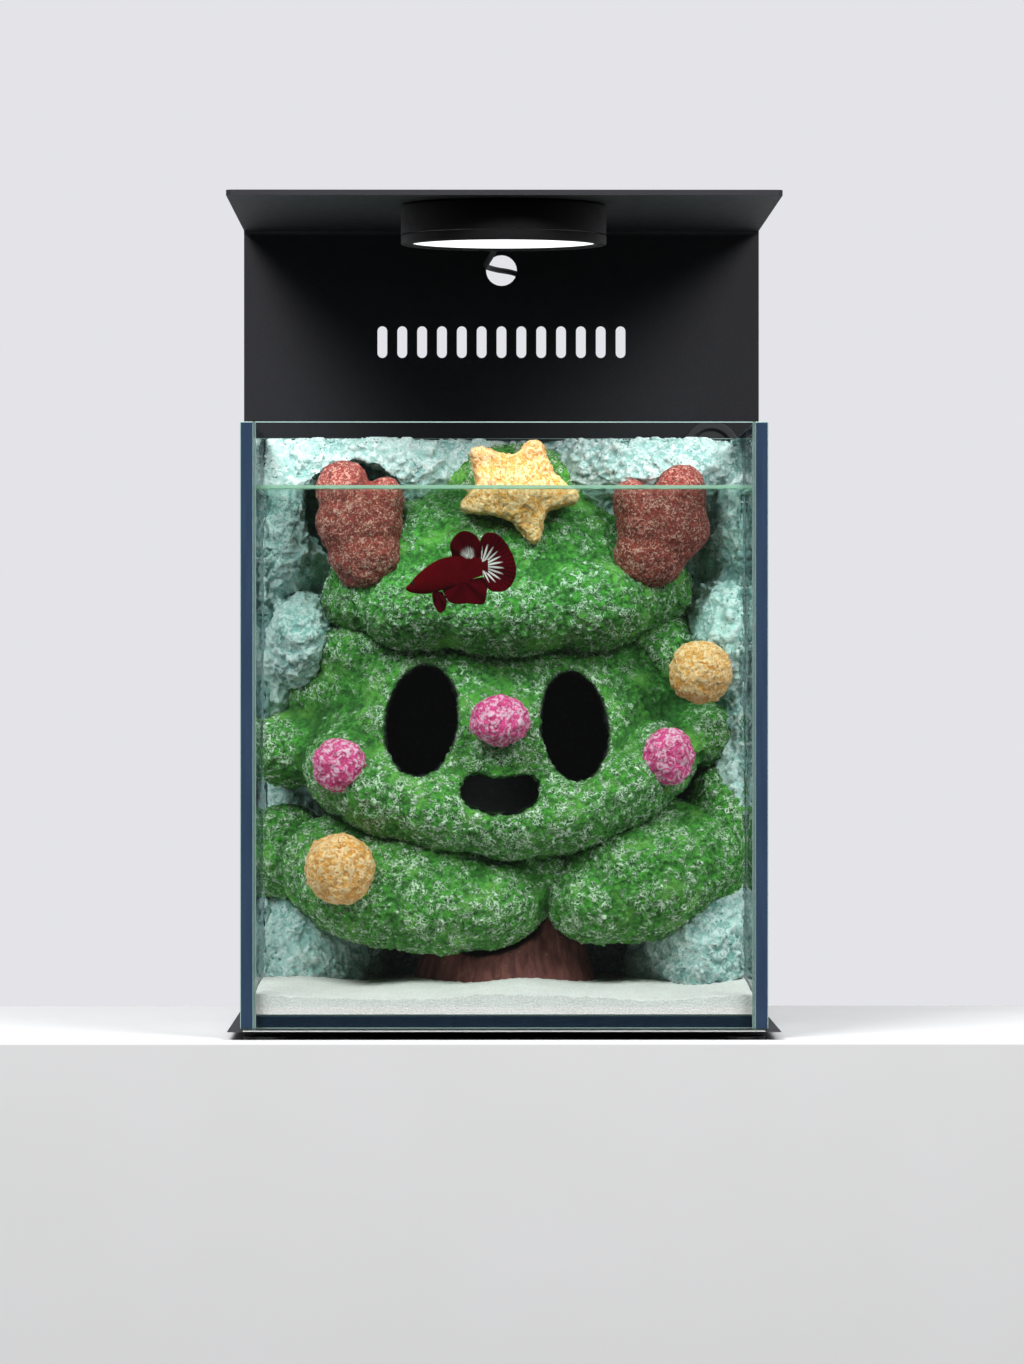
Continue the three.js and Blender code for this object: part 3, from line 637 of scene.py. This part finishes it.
def build_insert():
    sculpt("tree_top", TREE_TOP, "green", cutters=hole_cutter(), rough=GREEN_ROUGH)
    sculpt("tree_face", TREE_FACE, "green", 1.12, 8, cutters=face_cutter(),
           rough=GREEN_ROUGH)
    sculpt("tree_skirt_left", TREE_SKIRT_LEFT, "green", rough=GREEN_ROUGH)
    sculpt("tree_skirt_right", TREE_SKIRT_RIGHT, "green", rough=GREEN_ROUGH)
    for name, lumps in ROCKS.items():
        cutters = hole_cutter() if name in ("rock_left_column", "rock_top_left") else None
        sculpt(name, lumps, "rock", cutters=cutters, rough=ROCK_ROUGH)
    antler_rough = [("CLOUDS", 9, 2.2, False), ("CLOUDS", 3.4, 1.2, False), ("CLOUDS", 1.8, 0.8, True)]
    sculpt("antler_left", ANTLER_LEFT, "antler", 0.7, 4, rough=antler_rough)
    sculpt("antler_right", ANTLER_RIGHT, "antler", 0.7, 4, rough=antler_rough)
    balls = {
        "bauble_gold_left": ((-63.4, -30, 62.7, 14, 14, 14, 0), "gold", "gold_paint"),
        "bauble_gold_right": ((77, -20, 139.2, 12.5, 12.5, 12.5, 0), "gold", "gold_paint"),
        "cheek_left": ((-63.8, -24, 103.1, 10.8, 9, 10.8, 0), "pink", "pink_paint"),
        "cheek_right": ((64.3, -22, 106.2, 10.2, 9, 11.4, 0), "pink", "pink_paint"),
        "nose": ((-1.3, -33, 120.2, 12.2, 9, 10.2, 0), "pink", "pink_paint"),
    }
    for name, (lump, paint, slot) in balls.items():
        sculpt(name, [lump], paint, 0.6, 1, rough=BALL_ROUGH, wide=False)
    sculpt("star", star_form(), "gold", 0.6, 7, rough=BALL_ROUGH, wide=False)

    trunk = new_object("tree_trunk_form", NODES["tree_trunk"].data.copy())
    remesh(trunk, 1.0)
    modify(trunk, "SMOOTH", factor=0.7, iterations=8)
    crumple(trunk, "CLOUDS", 8, 1.2)
    keep_inside(trunk)
    smooth_shaded(trunk)
    piece(dress(trunk, PAINTS["trunk"]), "tank", ["tree_trunk"])

    slab = new_object("rock_back_form", NODES["rock_back"].data.copy())
    remesh(slab, 1.1)
    points = coordinates(slab.data)
    points[points[:, 2] > INSERT_TOP - 0.003, 2] += 0.004
    set_coordinates(slab.data, points)
    for kind, size, depth, hard in ROCK_ROUGH:
        crumple(slab, kind, size, depth, 2, hard)
    keep_inside(slab, BACK_FACE - 0.003)
    mark_relief(slab)
    smooth_shaded(slab)
    piece(dress(slab, PAINTS["rock"]), "tank", ["rock_back"])


def build_sand():
    """A closed bed whose top rolls gently and is covered in grains."""
    low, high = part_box("sand_bed")
    pitch = 0.0011
    nx, ny = int((high.x - low.x) / pitch), int((high.y - low.y) / pitch)
    made = bmesh.new()
    bmesh.ops.create_grid(made, x_segments=nx, y_segments=ny, size=0.5)
    span, middle = high - low, (high + low) / 2
    for v in made.verts:
        x, y = middle.x + v.co.x * span.x, middle.y + v.co.y * span.y
        depth = v.co.y + 0.5
        height = 0.0158 + 0.0036 * depth
        height += 0.001 * math.sin(61 * x + 1.3) + 0.0007 * math.sin(140 * x - 30 * y) * (0.4 + depth)
        v.co = (x, y, height)
    edges = [e for e in made.edges if e.is_boundary]
    skirt = bmesh.ops.extrude_edge_only(made, edges=edges)["geom"]
    bottom = [v for v in skirt if isinstance(v, bmesh.types.BMVert)]
    for v in bottom:
        v.co.z = low.z
    bmesh.ops.edgeloop_fill(made, edges=[e for e in made.edges if e.is_boundary])
    bmesh.ops.recalc_face_normals(made, faces=made.faces)
    sand = bmesh_object("sand_bed", made)
    grains = sand.vertex_groups.new(name="top")
    points = coordinates(sand.data)
    top = [int(i) for i in np.nonzero(points[:, 2] > low.z + 0.002)[0]]
    grains.add(top, 1.0, "REPLACE")
    texture = bpy.data.textures.new("grains", "CLOUDS")
    texture.noise_scale = 0.0022
    modify(sand, "DISPLACE", texture=texture, texture_coords="GLOBAL", strength=0.0014,
           mid_level=0.5, vertex_group="top", direction="Z")
    smooth_shaded(sand, 50)
    piece(dress(sand, PAINTS["sand"]), "tank", ["sand_bed"])


# ---------------------------------------------------------------- the fish
# Outlines in millimetres from the tip of its mouth: x towards the tail, z up.
FISH_AT = Vector((-37.5, -60.0, 171.2)) * MM
FISH_BACK = [(0, 0.7), (1.6, 2.2), (4, 5), (8.8, 9.1), (14.2, 11.8), (20.7, 12.5), (26, 12.2), (31.5, 11)]
FISH_BELLY = [
    (0, -0.5), (1.7, -1.5), (5.8, -2.1), (9.6, -1.8), (14.6, -0.4), (20, 1.4), (26, 3.8), (31.5, 5.8),
]
FINS = {
    "fish_tail": {"root": (28.8, 8.6), "flare": 0.66, "rim": [
        (28.9, 13.5), (28.3, 15.8), (29, 19.5), (31.2, 21.4), (34.9, 20.9), (38.6, 17.3), (41.5, 11.4),
        (42.3, 6.2), (40.8, 1.8), (38.6, -0.4), (36.4, -1.1), (33.4, -1.1), (31, 0.6), (30.2, 4)]},
    "fish_dorsal": {"root": (24.4, 11.0), "flare": 0.5, "rim": [
        (17.6, 12.2), (17.4, 13.8), (16.9, 16.5), (18.4, 19.8), (21.3, 22), (24.6, 21.7), (27.6, 19.5),
        (29, 15.8), (29.4, 12.2)]},
    "fish_anal": {"root": (22.0, 3.0), "flare": 0.0, "rim": [
        (14.0, -0.6), (15.4, -3.6), (17.3, -5.5), (20.6, -5.9), (23.9, -5.7), (27, -6.0), (30.1, -5.5),
        (31.1, -0.4), (31.0, 4.6)]},
    "fish_ventral": {"root": (11.6, -1.0), "flare": 0.0, "rim": [
        (9.9, -1.8), (10.3, -4), (10.9, -6.4), (12.9, -9.2), (15.1, -7.7), (15.4, -4), (13.8, -1.4)]},
}


def curve_through(points, count):
    """count points evenly spread along a smooth line through the given ones."""
    given = [Vector(p) for p in points]
    given = [2 * given[0] - given[1], *given, 2 * given[-1] - given[-2]]
    dense = []
    for a, b, c, d in zip(given, given[1:], given[2:], given[3:]):
        for i in range(16):
            t = i / 16
            dense.append(0.5 * (2 * b + (c - a) * t + (2 * a - 5 * b + 4 * c - d) * t * t
                                + (3 * b - a - 3 * c + d) * t ** 3))
    dense.append(given[-2])
    steps = [0.0]
    for a, b in zip(dense, dense[1:]):
        steps.append(steps[-1] + (b - a).length)
    found, k = [], 0
    for i in range(count):
        want = steps[-1] * i / (count - 1)
        while k < len(dense) - 2 and steps[k + 1] < want:
            k += 1
        t = (want - steps[k]) / max(steps[k + 1] - steps[k], 1e-12)
        found.append(dense[k].lerp(dense[k + 1], min(max(t, 0), 1)))
    return found


def fish_skin():
    s = Shader("fish_skin")
    scales = s.step(s.cells(0.00055), 0.1, 0.6)
    tone = s.mix(s.noise(0.004, 2.0), rgb(0.05, 0.0006, 0.002), rgb(0.11, 0.0012, 0.003))
    colour = s.mix(scales, rgb(0.13, 0.003, 0.006), tone)
    bumps = s.bump(scales, 0.0001, 0.5)
    return s.surface(Base_Color=colour, Roughness=0.5, Specular_IOR_Level=0.0, Normal=bumps)


def fin_skin():
    s = Shader("fish_fin")
    rays = s.step(s.attribute("ray"), 0.35, 0.65)
    colour = s.mix(rays, rgb(0.055, 0.0006, 0.003), rgb(0.085, 0.001, 0.004))
    colour = s.mix(s.attribute("flare"), colour, rgb(0.8, 0.74, 0.72))
    ridges = s.bump(s.attribute("ray"), 0.0001, 0.5)
    return s.surface(Base_Color=colour, Roughness=0.6, Specular_IOR_Level=0.0, Normal=ridges)


def build_fish():
    rings, around = 36, 24
    back, belly = curve_through(FISH_BACK, rings), curve_through(FISH_BELLY, rings)
    points, faces = [], []
    for i, (top, under) in enumerate(zip(back, belly)):
        along = i / (rings - 1)
        wide = 2.9 * math.sin(math.pi * min(along * 1.35 + 0.08, 1.0)) ** 0.7 * (1 - 0.3 * along) + 0.35
        middle, half = (top + under) / 2, (top - under) / 2
        for k in range(around):
            a = 2 * math.pi * k / around
            at = middle + half * math.cos(a)
            points.append(FISH_AT + Vector((at.x, wide * math.sin(a), at.y)) * MM)
    for i in range(rings - 1):
        for k in range(around):
            j = (k + 1) % around
            faces.append((i * around + k, i * around + j, (i + 1) * around + j, (i + 1) * around + k))
    faces.append(tuple(range(around)))
    faces.append(tuple(reversed(range((rings - 1) * around, rings * around))))
    body = mesh_object("fish_body", points, faces)
    modify(body, "SUBSURF", levels=1)
    smooth_shaded(body)
    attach(dress(body, fish_skin()), "tank")

    skin = fin_skin()
    for number, (name, fin) in enumerate(FINS.items()):
        build_fin(name, fin, skin, number)
    eye = bmesh.new()
    for side in (-1, 1):
        at = FISH_AT + Vector((2.9, side * 1.75, 1.7)) * MM
        place = Matrix.Translation(at) @ Matrix.Diagonal((1.15 * MM, 0.6 * MM, 1.15 * MM, 1))
        bmesh.ops.create_uvsphere(eye, u_segments=20, v_segments=12, radius=1, matrix=place)
    eyes = smooth_shaded(bmesh_object("fish_eyes", eye))
    dark = Shader("fish_eye")
    speckle = dark.step(dark.noise(0.0006), 0.4, 0.6)
    ring = dark.mix(speckle, rgb(0.002, 0.002, 0.003), rgb(0.01, 0.006, 0.008))
    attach(dress(eyes, dark.surface(Base_Color=ring, Roughness=0.08)), "tank")


def build_fin(name, fin, skin, number):
    """A thin rayed fan from its root to its rim, with a soft wave in it."""
    columns, rows = 140, 16
    rim = curve_through(fin["rim"], columns)
    root = Vector(fin["root"])
    points, flare, ray = [], [], []
    for i, end in enumerate(rim):
        reach = fin["flare"] * (0.66 + 0.34 * math.cos(2 * math.pi * 14 * i / columns))
        for j in range(rows):
            v = j / (rows - 1)
            at = root.lerp(end, v)
            wave = 0.9 * v * math.sin(2 * math.pi * 3.2 * i / columns + number)
            ripple = 0.12 * v * math.sin(2 * math.pi * 26 * i / columns)
            points.append(FISH_AT + Vector((at.x, wave + ripple, at.y)) * MM)
            flare.append(max(0.0, min(1.0, (reach - v) * 14)) if reach > 0.2 else 0.0)
            ray.append(0.5 + 0.5 * math.sin(2 * math.pi * 26 * i / columns))
    faces = [(i * rows + j, (i + 1) * rows + j, (i + 1) * rows + j + 1, i * rows + j + 1)
             for i in range(columns - 1) for j in range(rows - 1)]
    obj = mesh_object(name, points, faces)
    for key, values in (("flare", flare), ("ray", ray)):
        layer = obj.data.attributes.new(key, "FLOAT", "POINT")
        layer.data.foreach_set("value", np.array(values, np.float32))
    modify(obj, "SOLIDIFY", thickness=0.0003, offset=0.0)
    smooth_shaded(obj)
    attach(dress(obj, skin), "tank")


# ---------------------------------------------------------------- panes, seams and water
def block(name, low, high, bevel=0.0003, segments=1):
    """A box with small chamfers."""
    made = bmesh.new()
    size, middle = Vector(high) - Vector(low), (Vector(high) + Vector(low)) / 2
    bmesh.ops.create_cube(made, size=1, matrix=Matrix.Translation(middle) @ Matrix.Diagonal((*size, 1)))
    if bevel:
        bmesh.ops.bevel(made, geom=list(made.edges), offset=bevel, segments=segments, affect="EDGES",
                        profile=0.5)
    return bmesh_object(name, made)


def build_panes():
    for name in ("glass_left", "glass_right", "glass_front", "glass_back", "glass_bottom"):
        low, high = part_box(name)
        pane = block(name + "_pane", low, high)
        thin = min(range(3), key=lambda axis: high[axis] - low[axis])
        dress(pane, GLASS_FACE, GLASS_EDGE, GLASS_CHAMFER)
        for face in pane.data.polygons:
            broadside = abs(face.normal[thin]) > 0.9
            face.material_index = 0 if broadside else 1 if max(map(abs, face.normal)) > 0.9 else 2
        piece(pane, "tank", [name])
    for name in [n for n in NODES if n.startswith("bond_")]:
        dress(NODES[name], CLEAR_SEAM if name == "bond_bottom" else SEAM)


def build_water():
    """The water's body, its surface and the bright edge where it climbs the panes."""
    gap = 0.0002
    low = Vector((ROOM_LO.x + gap, ROOM_LO.y + gap, 0.0122))
    high = Vector((ROOM_HI.x - gap, BACK_FACE - 0.002, WATER_Z))
    water = block("water_body", low, high, 0)
    sides = clear("water_side", (0.95, 0.985, 0.975), 0.0, ior=1.1)
    surface = clear("water_surface", (0.68, 0.82, 0.77), 0.5, ior=1.33)
    dress(water, sides, surface)
    for face in water.data.polygons:
        face.material_index = 1 if face.normal.z > 0.9 else 0
    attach(water, "tank")
    # The rim's pale diffuse colour paints the meniscus's bright band as a painted highlight.
    edge = clear("water_edge", (0.55, 0.8, 0.66), 0.7, painted_sheen=(0.5, 0.8, 0.62), painted_sheen_amount=0.55)
    section = [(0.0, -0.0004), (0.0, 0.0011), (0.0003, 0.0004), (0.0011, 0.0), (0.0016, -0.0004)]
    corners = [
        (low.x, low.y, 1, 1), (high.x, low.y, -1, 1), (high.x, high.y, -1, -1), (low.x, high.y, 1, -1),
    ]
    points = [(x + sx * inward, y + sy * inward, WATER_Z + up)
              for x, y, sx, sy in corners for inward, up in section]
    count = len(section)
    faces = [(i * count + k, i * count + (k + 1) % count,
              ((i + 1) % 4) * count + (k + 1) % count, ((i + 1) % 4) * count + k)
             for i in range(4) for k in range(count)]
    rim = mesh_object("water_rim", points, faces)
    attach(dress(rim, edge), "tank")


# ---------------------------------------------------------------- the stand and other hard parts
def refined(node, material, body, bevel=0.0003, angle=35):
    """A CAD node's copy with its edges broken and its curves shaded smooth."""
    made = bmesh.new()
    made.from_mesh(NODES[node].data)
    bmesh.ops.remove_doubles(made, verts=made.verts, dist=1e-6)
    bmesh.ops.dissolve_limit(made, angle_limit=math.radians(1), verts=made.verts, edges=made.edges)
    obj = bmesh_object(node + "_fine", made)
    if bevel:
        modify(obj, "BEVEL", width=bevel, segments=2, limit_method="ANGLE",
               angle_limit=math.radians(angle))
    smooth_shaded(obj, angle)
    modify(obj, "WEIGHTED_NORMAL", keep_sharp=True, weight=100)
    return piece(dress(obj, material), body, [node])


def lathe(name, profile, y, material, body, node, segments=128):
    """Turns a closed (radius, height) profile, in millimetres, about an upright axis at x 0."""
    points, faces = [], []
    count = len(profile)
    for i in range(segments):
        a = 2 * math.pi * i / segments
        for r, h in profile:
            points.append((r * MM * math.cos(a), y + r * MM * math.sin(a), h * MM))
    for i in range(segments):
        j = (i + 1) % segments
        for k in range(count):
            m = (k + 1) % count
            faces.append((i * count + k, j * count + k, j * count + m, i * count + m))
    obj = mesh_object(name, points, faces)
    made = bmesh.new()
    made.from_mesh(obj.data)
    bmesh.ops.remove_doubles(made, verts=made.verts, dist=1e-7)
    bmesh.ops.dissolve_degenerate(made, edges=made.edges, dist=1e-7)
    bmesh.ops.recalc_face_normals(made, faces=made.faces)
    made.to_mesh(obj.data)
    made.free()
    smooth_shaded(obj, 30)
    return piece(dress(obj, material), body, [node])


def build_lamp():
    top, seam = LAMP_HI.z / MM, LAMP_LO.z / MM
    bottom = LENS_LO / MM
    outer = LAMP_R / MM
    bezel_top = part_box("lamp_bezel")[1].z / MM
    housing = [(0, top - 4), (outer - 2.2, top - 4), (outer - 2.2, seam), (outer - 0.25, seam),
               (outer, seam + 0.25), (outer, top - 1.2), (outer - 0.35, top - 0.35), (outer - 1.2, top),
               (0, top)]
    lathe("lamp_shell", housing, LAMP_Y, LAMP_BLACK, "lamp", "lamp_housing")
    inner = 35.3
    bezel = [(inner, bottom + 0.5), (inner + 0.3, bottom + 0.1), (inner + 0.8, bottom),
             (outer - 0.8, bottom), (outer - 0.25, bottom + 0.2), (outer, bottom + 0.8),
             (outer, bezel_top - 0.25), (outer - 0.25, bezel_top), (outer - 2.5, bezel_top),
             (outer - 2.5, bottom + 0.9), (inner, bottom + 0.9)]
    lathe("lamp_ring", bezel, LAMP_Y, LAMP_BLACK, "lamp", "lamp_bezel")
    low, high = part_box("lamp_diffuser")
    r = (high.x - low.x) / 2 / MM
    lens = [(0, low.z / MM), (r, low.z / MM), (r, high.z / MM), (0, high.z / MM)]
    lathe("lamp_lens", lens, LAMP_Y, lens_glow(), "lamp", "lamp_diffuser")
    dress(NODES["lamp_led_board"], BOARD)
    for name in NODES:
        if name.startswith(("lamp_screw", "lamp_magnet")):
            dress(NODES[name], METAL)
    refined("lamp_strain_relief", JACKET, "lamp", 0.00015, 40)


def build_stand():
    refined("stand_frame", STEEL, "stand", 0.00035)
    refined("panel_plug", RUBBER, "stand", 0.0003)
    for name in NODES:
        if name.startswith("foot_"):
            dress(NODES[name], FOOT)
    dress(NODES["levelling_mat"], PAD)


# ---------------------------------------------------------------- the lamp's lead
LEAD_D = 2.3
DROP_X, COIL_X, COIL_Y = 12.15, -3.95, 139.0
COIL_IN, COIL_OUT = 9.2, 16.1
COIL_TURNS = 13.125
LEAD_LENGTH = 1.5
LEAD_ROUTE = [
    (-0.0, -3.4, 311.6), (-0.3, 6, 311.4), (-1.2, 20, 310.2), (-2.6, 38, 308), (-4.2, 58, 306.1),
    (-5.6, 78, 304.9), (-6.3, 93, 304.3), (-5.9, 101, 303.9), (-4, 106.6, 303.5), (-0.8, 110.8, 303),
    (3.4, 113.6, 302.5), (7.8, 114.8, 300.9), (11, 115, 297), (DROP_X, 115, 290), (DROP_X, 115, 270),
    (DROP_X, 115, 230), (DROP_X, 115, 180), (DROP_X, 115, 130), (DROP_X, 115, 80), (DROP_X, 115, 40),
    (DROP_X, 115.1, 18), (DROP_X, 116.2, 9), (DROP_X, 119.6, 3.4), (DROP_X, 125, 1.3),
    (DROP_X, COIL_Y - 9.6, 1.2),
]
TAIL_ROUTE = [
    (COIL_X + 9.6, COIL_Y + 15.6, 8.1), (COIL_X + 6, COIL_Y + 18.2, 8), (COIL_X + 1, COIL_Y + 19.6, 7.2),
    (COIL_X - 5, COIL_Y + 19.2, 5.8), (COIL_X - 11, COIL_Y + 17, 4.6), (COIL_X - 16.5, COIL_Y + 14, 3.8),
    (COIL_X - 20.5, 151.8, 3.6), (COIL_X - 23.9, 151.6, 3.6),
]


def length_of(points):
    return sum((Vector(b) - Vector(a)).length for a, b in zip(points, points[1:]))


def coil_points(ease):
    """The coil's winding: layers that spiral in and out, one on another, each turn wider by ease."""
    gaps, per_turn = 3, 24
    points = []
    for i in range(int(COIL_TURNS * per_turn) + 1):
        turn = i / per_turn
        layer, within = divmod(turn, gaps + 1)
        side = min(within, gaps) * LEAD_D
        r = ease + (COIL_OUT - side if layer % 2 == 0 else COIL_IN + side)
        rise = LEAD_D * (layer + max(within - gaps, 0.0))
        a = 2 * math.pi * turn
        points.append(Vector((COIL_X + r * math.cos(a), COIL_Y + r * math.sin(a), 1.2 + rise)))
    return points


def lead_path():
    """The lead's centreline in millimetres, with the coil eased until the whole has its length."""
    hanging = curve_through(LEAD_ROUTE, 170)
    tail = curve_through(TAIL_ROUTE, 24)
    loose = curve_through([*hanging, *coil_points(0.0), *tail], 900)
    ease = (LEAD_LENGTH / MM - length_of(loose)) / (2 * math.pi * COIL_TURNS)
    return curve_through([*hanging, *coil_points(ease), *tail], 900)


def tube(name, path, radius, sides=12):
    """A closed round tube along a dense path, carried by frames that don't twist."""
    points, faces = [], []
    normal = Vector((1, 0, 0))
    for i, at in enumerate(path):
        ahead = (path[min(i + 1, len(path) - 1)] - path[max(i - 1, 0)]).normalized()
        normal = (normal - ahead * normal.dot(ahead)).normalized()
        side = ahead.cross(normal)
        for k in range(sides):
            a = 2 * math.pi * k / sides
            points.append(at + (normal * math.cos(a) + side * math.sin(a)) * radius)
    for i in range(len(path) - 1):
        for k in range(sides):
            m = (k + 1) % sides
            faces.append((i * sides + k, i * sides + m, (i + 1) * sides + m, (i + 1) * sides + k))
    faces.append(tuple(reversed(range(sides))))
    faces.append(tuple(range((len(path) - 1) * sides, len(path) * sides)))
    return smooth_shaded(mesh_object(name, points, faces), 60)


def build_lead():
    path = [p * MM for p in lead_path()]
    lead = tube("lamp_lead", path, LEAD_D / 2 * MM)
    dress(lead, JACKET)
    plug = build_plug()
    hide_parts("lead_hanging", "lead_coil", "lead_tail")
    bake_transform(lead)


def build_plug():
    """The USB plug and the strap round the coil."""
    body = refined("plug_body", JACKET, "stand", 0.0006, 40)
    shell = refined("plug_shell", METAL, "stand", 0.0001)
    strap = refined("lead_strap", RUBBER, "stand", 0.0003)
    dress(NODES["plug_tongue"], BOARD)
    return [body, shell, strap, NODES["plug_tongue"]]


# ---------------------------------------------------------------- the shelf, lights and camera
def build_stage():
    """A pale shelf that ends just in front of and behind the stand; its top is painted lighter than its
    sides as painted light and shade.
    """
    shelf = block("shelf", (-1.6, -0.1115, -0.9), (1.6, 0.166, 0.0), 0.0012, 3)
    # Painted light and shade: one grey, lighter on the top faces and darker on the sides.
    dress(shelf, shelf_paint("shelf_side_shaded", 0.31), shelf_paint("shelf_top_lit", 0.415))
    for face in shelf.data.polygons:
        face.material_index = 1 if face.normal.z > 0.9 else 0


def shelf_paint(name, tone):
    s = Shader(name)
    grey = s.mix(s.noise(0.05, 4.0), rgb(tone, tone, tone), rgb(1.05 * tone, 1.05 * tone, 1.07 * tone))
    return s.surface(Base_Color=grey, Roughness=0.55)


def soft_light(name, at, towards, size, power, colour=(1, 1, 1)):
    light = bpy.data.lights.new(name, "AREA")
    light.shape = "RECTANGLE"
    light.size, light.size_y = size
    light.energy = power
    light.color = colour
    lamp = bpy.data.objects.new(name, light)
    lamp.location = at
    lamp.rotation_euler = (Vector(towards) - Vector(at)).to_track_quat("-Z", "Y").to_euler()
    bpy.context.scene.collection.objects.link(lamp)
    return lamp


def build_world():
    """A pale wall to look at; as a light, the room is bright behind and above and dim in front."""
    world = bpy.data.worlds.new("studio")
    bpy.context.scene.world = world
    world.use_nodes = True
    tree = world.node_tree
    wall = tree.nodes["Background"]
    wall.inputs["Color"].default_value = rgb(0.77, 0.77, 0.81)
    room = tree.nodes.new("ShaderNodeBackground")
    room.inputs["Color"].default_value = rgb(0.95, 0.96, 1.0)
    split = tree.nodes.new("ShaderNodeSeparateXYZ")
    tree.links.new(tree.nodes.new("ShaderNodeTexCoord").outputs["Generated"], split.inputs[0])
    rise = tree.nodes.new("ShaderNodeMapRange")
    rise.interpolation_type = "SMOOTHSTEP"
    tree.links.new(split.outputs["Y"], rise.inputs["Value"])
    for key, value in (("From Min", -0.75), ("From Max", 0.45), ("To Min", 0.08), ("To Max", 0.75)):
        rise.inputs[key].default_value = value
    tree.links.new(rise.outputs[0], room.inputs["Strength"])
    either = tree.nodes.new("ShaderNodeMixShader")
    tree.links.new(tree.nodes.new("ShaderNodeLightPath").outputs["Is Camera Ray"], either.inputs[0])
    tree.links.new(room.outputs[0], either.inputs[1])
    tree.links.new(wall.outputs[0], either.inputs[2])
    tree.links.new(either.outputs[0], tree.nodes["World Output"].inputs["Surface"])


def build_lights():
    soft_light("key", (-1.1, -1.8, 2.1), (0, 0, 0.12), (1.3, 1.2), 178)
    soft_light("fill", (1.4, -1.7, 1.7), (0, 0, 0.12), (1.2, 1.2), 118)
    soft_light("top", (0.0, -0.1, 1.7), (0, 0, 0), (1.4, 1.0), 6)
    glow = bpy.data.lights.new("lamp_glow", "AREA")
    glow.shape = "DISK"
    glow.size = 0.066
    glow.energy = 0.035
    lamp = bpy.data.objects.new("lamp_glow", glow)
    lamp.location = (0, LAMP_Y, LENS_LO - 0.001)
    bpy.context.scene.collection.objects.link(lamp)
    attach(lamp, "lamp")


def build_camera():
    data = bpy.data.cameras.new("camera")
    data.sensor_width = 36.0
    data.lens = 184.75
    data.clip_end = 30.0
    camera = bpy.data.objects.new("camera", data)
    camera.location = (-0.0146, -2.748, 0.142)
    camera.rotation_euler = (math.radians(90 - 0.142), 0, math.radians(-0.379))
    bpy.context.scene.collection.objects.link(camera)
    bpy.context.scene.camera = camera


bpy.context.scene.view_settings.view_transform = "Standard"
build_camera()
build_lead()
build_stage()
build_world()
build_lights()
build_stand()
build_lamp()
build_panes()
build_insert()
build_sand()
build_water()
build_fish()
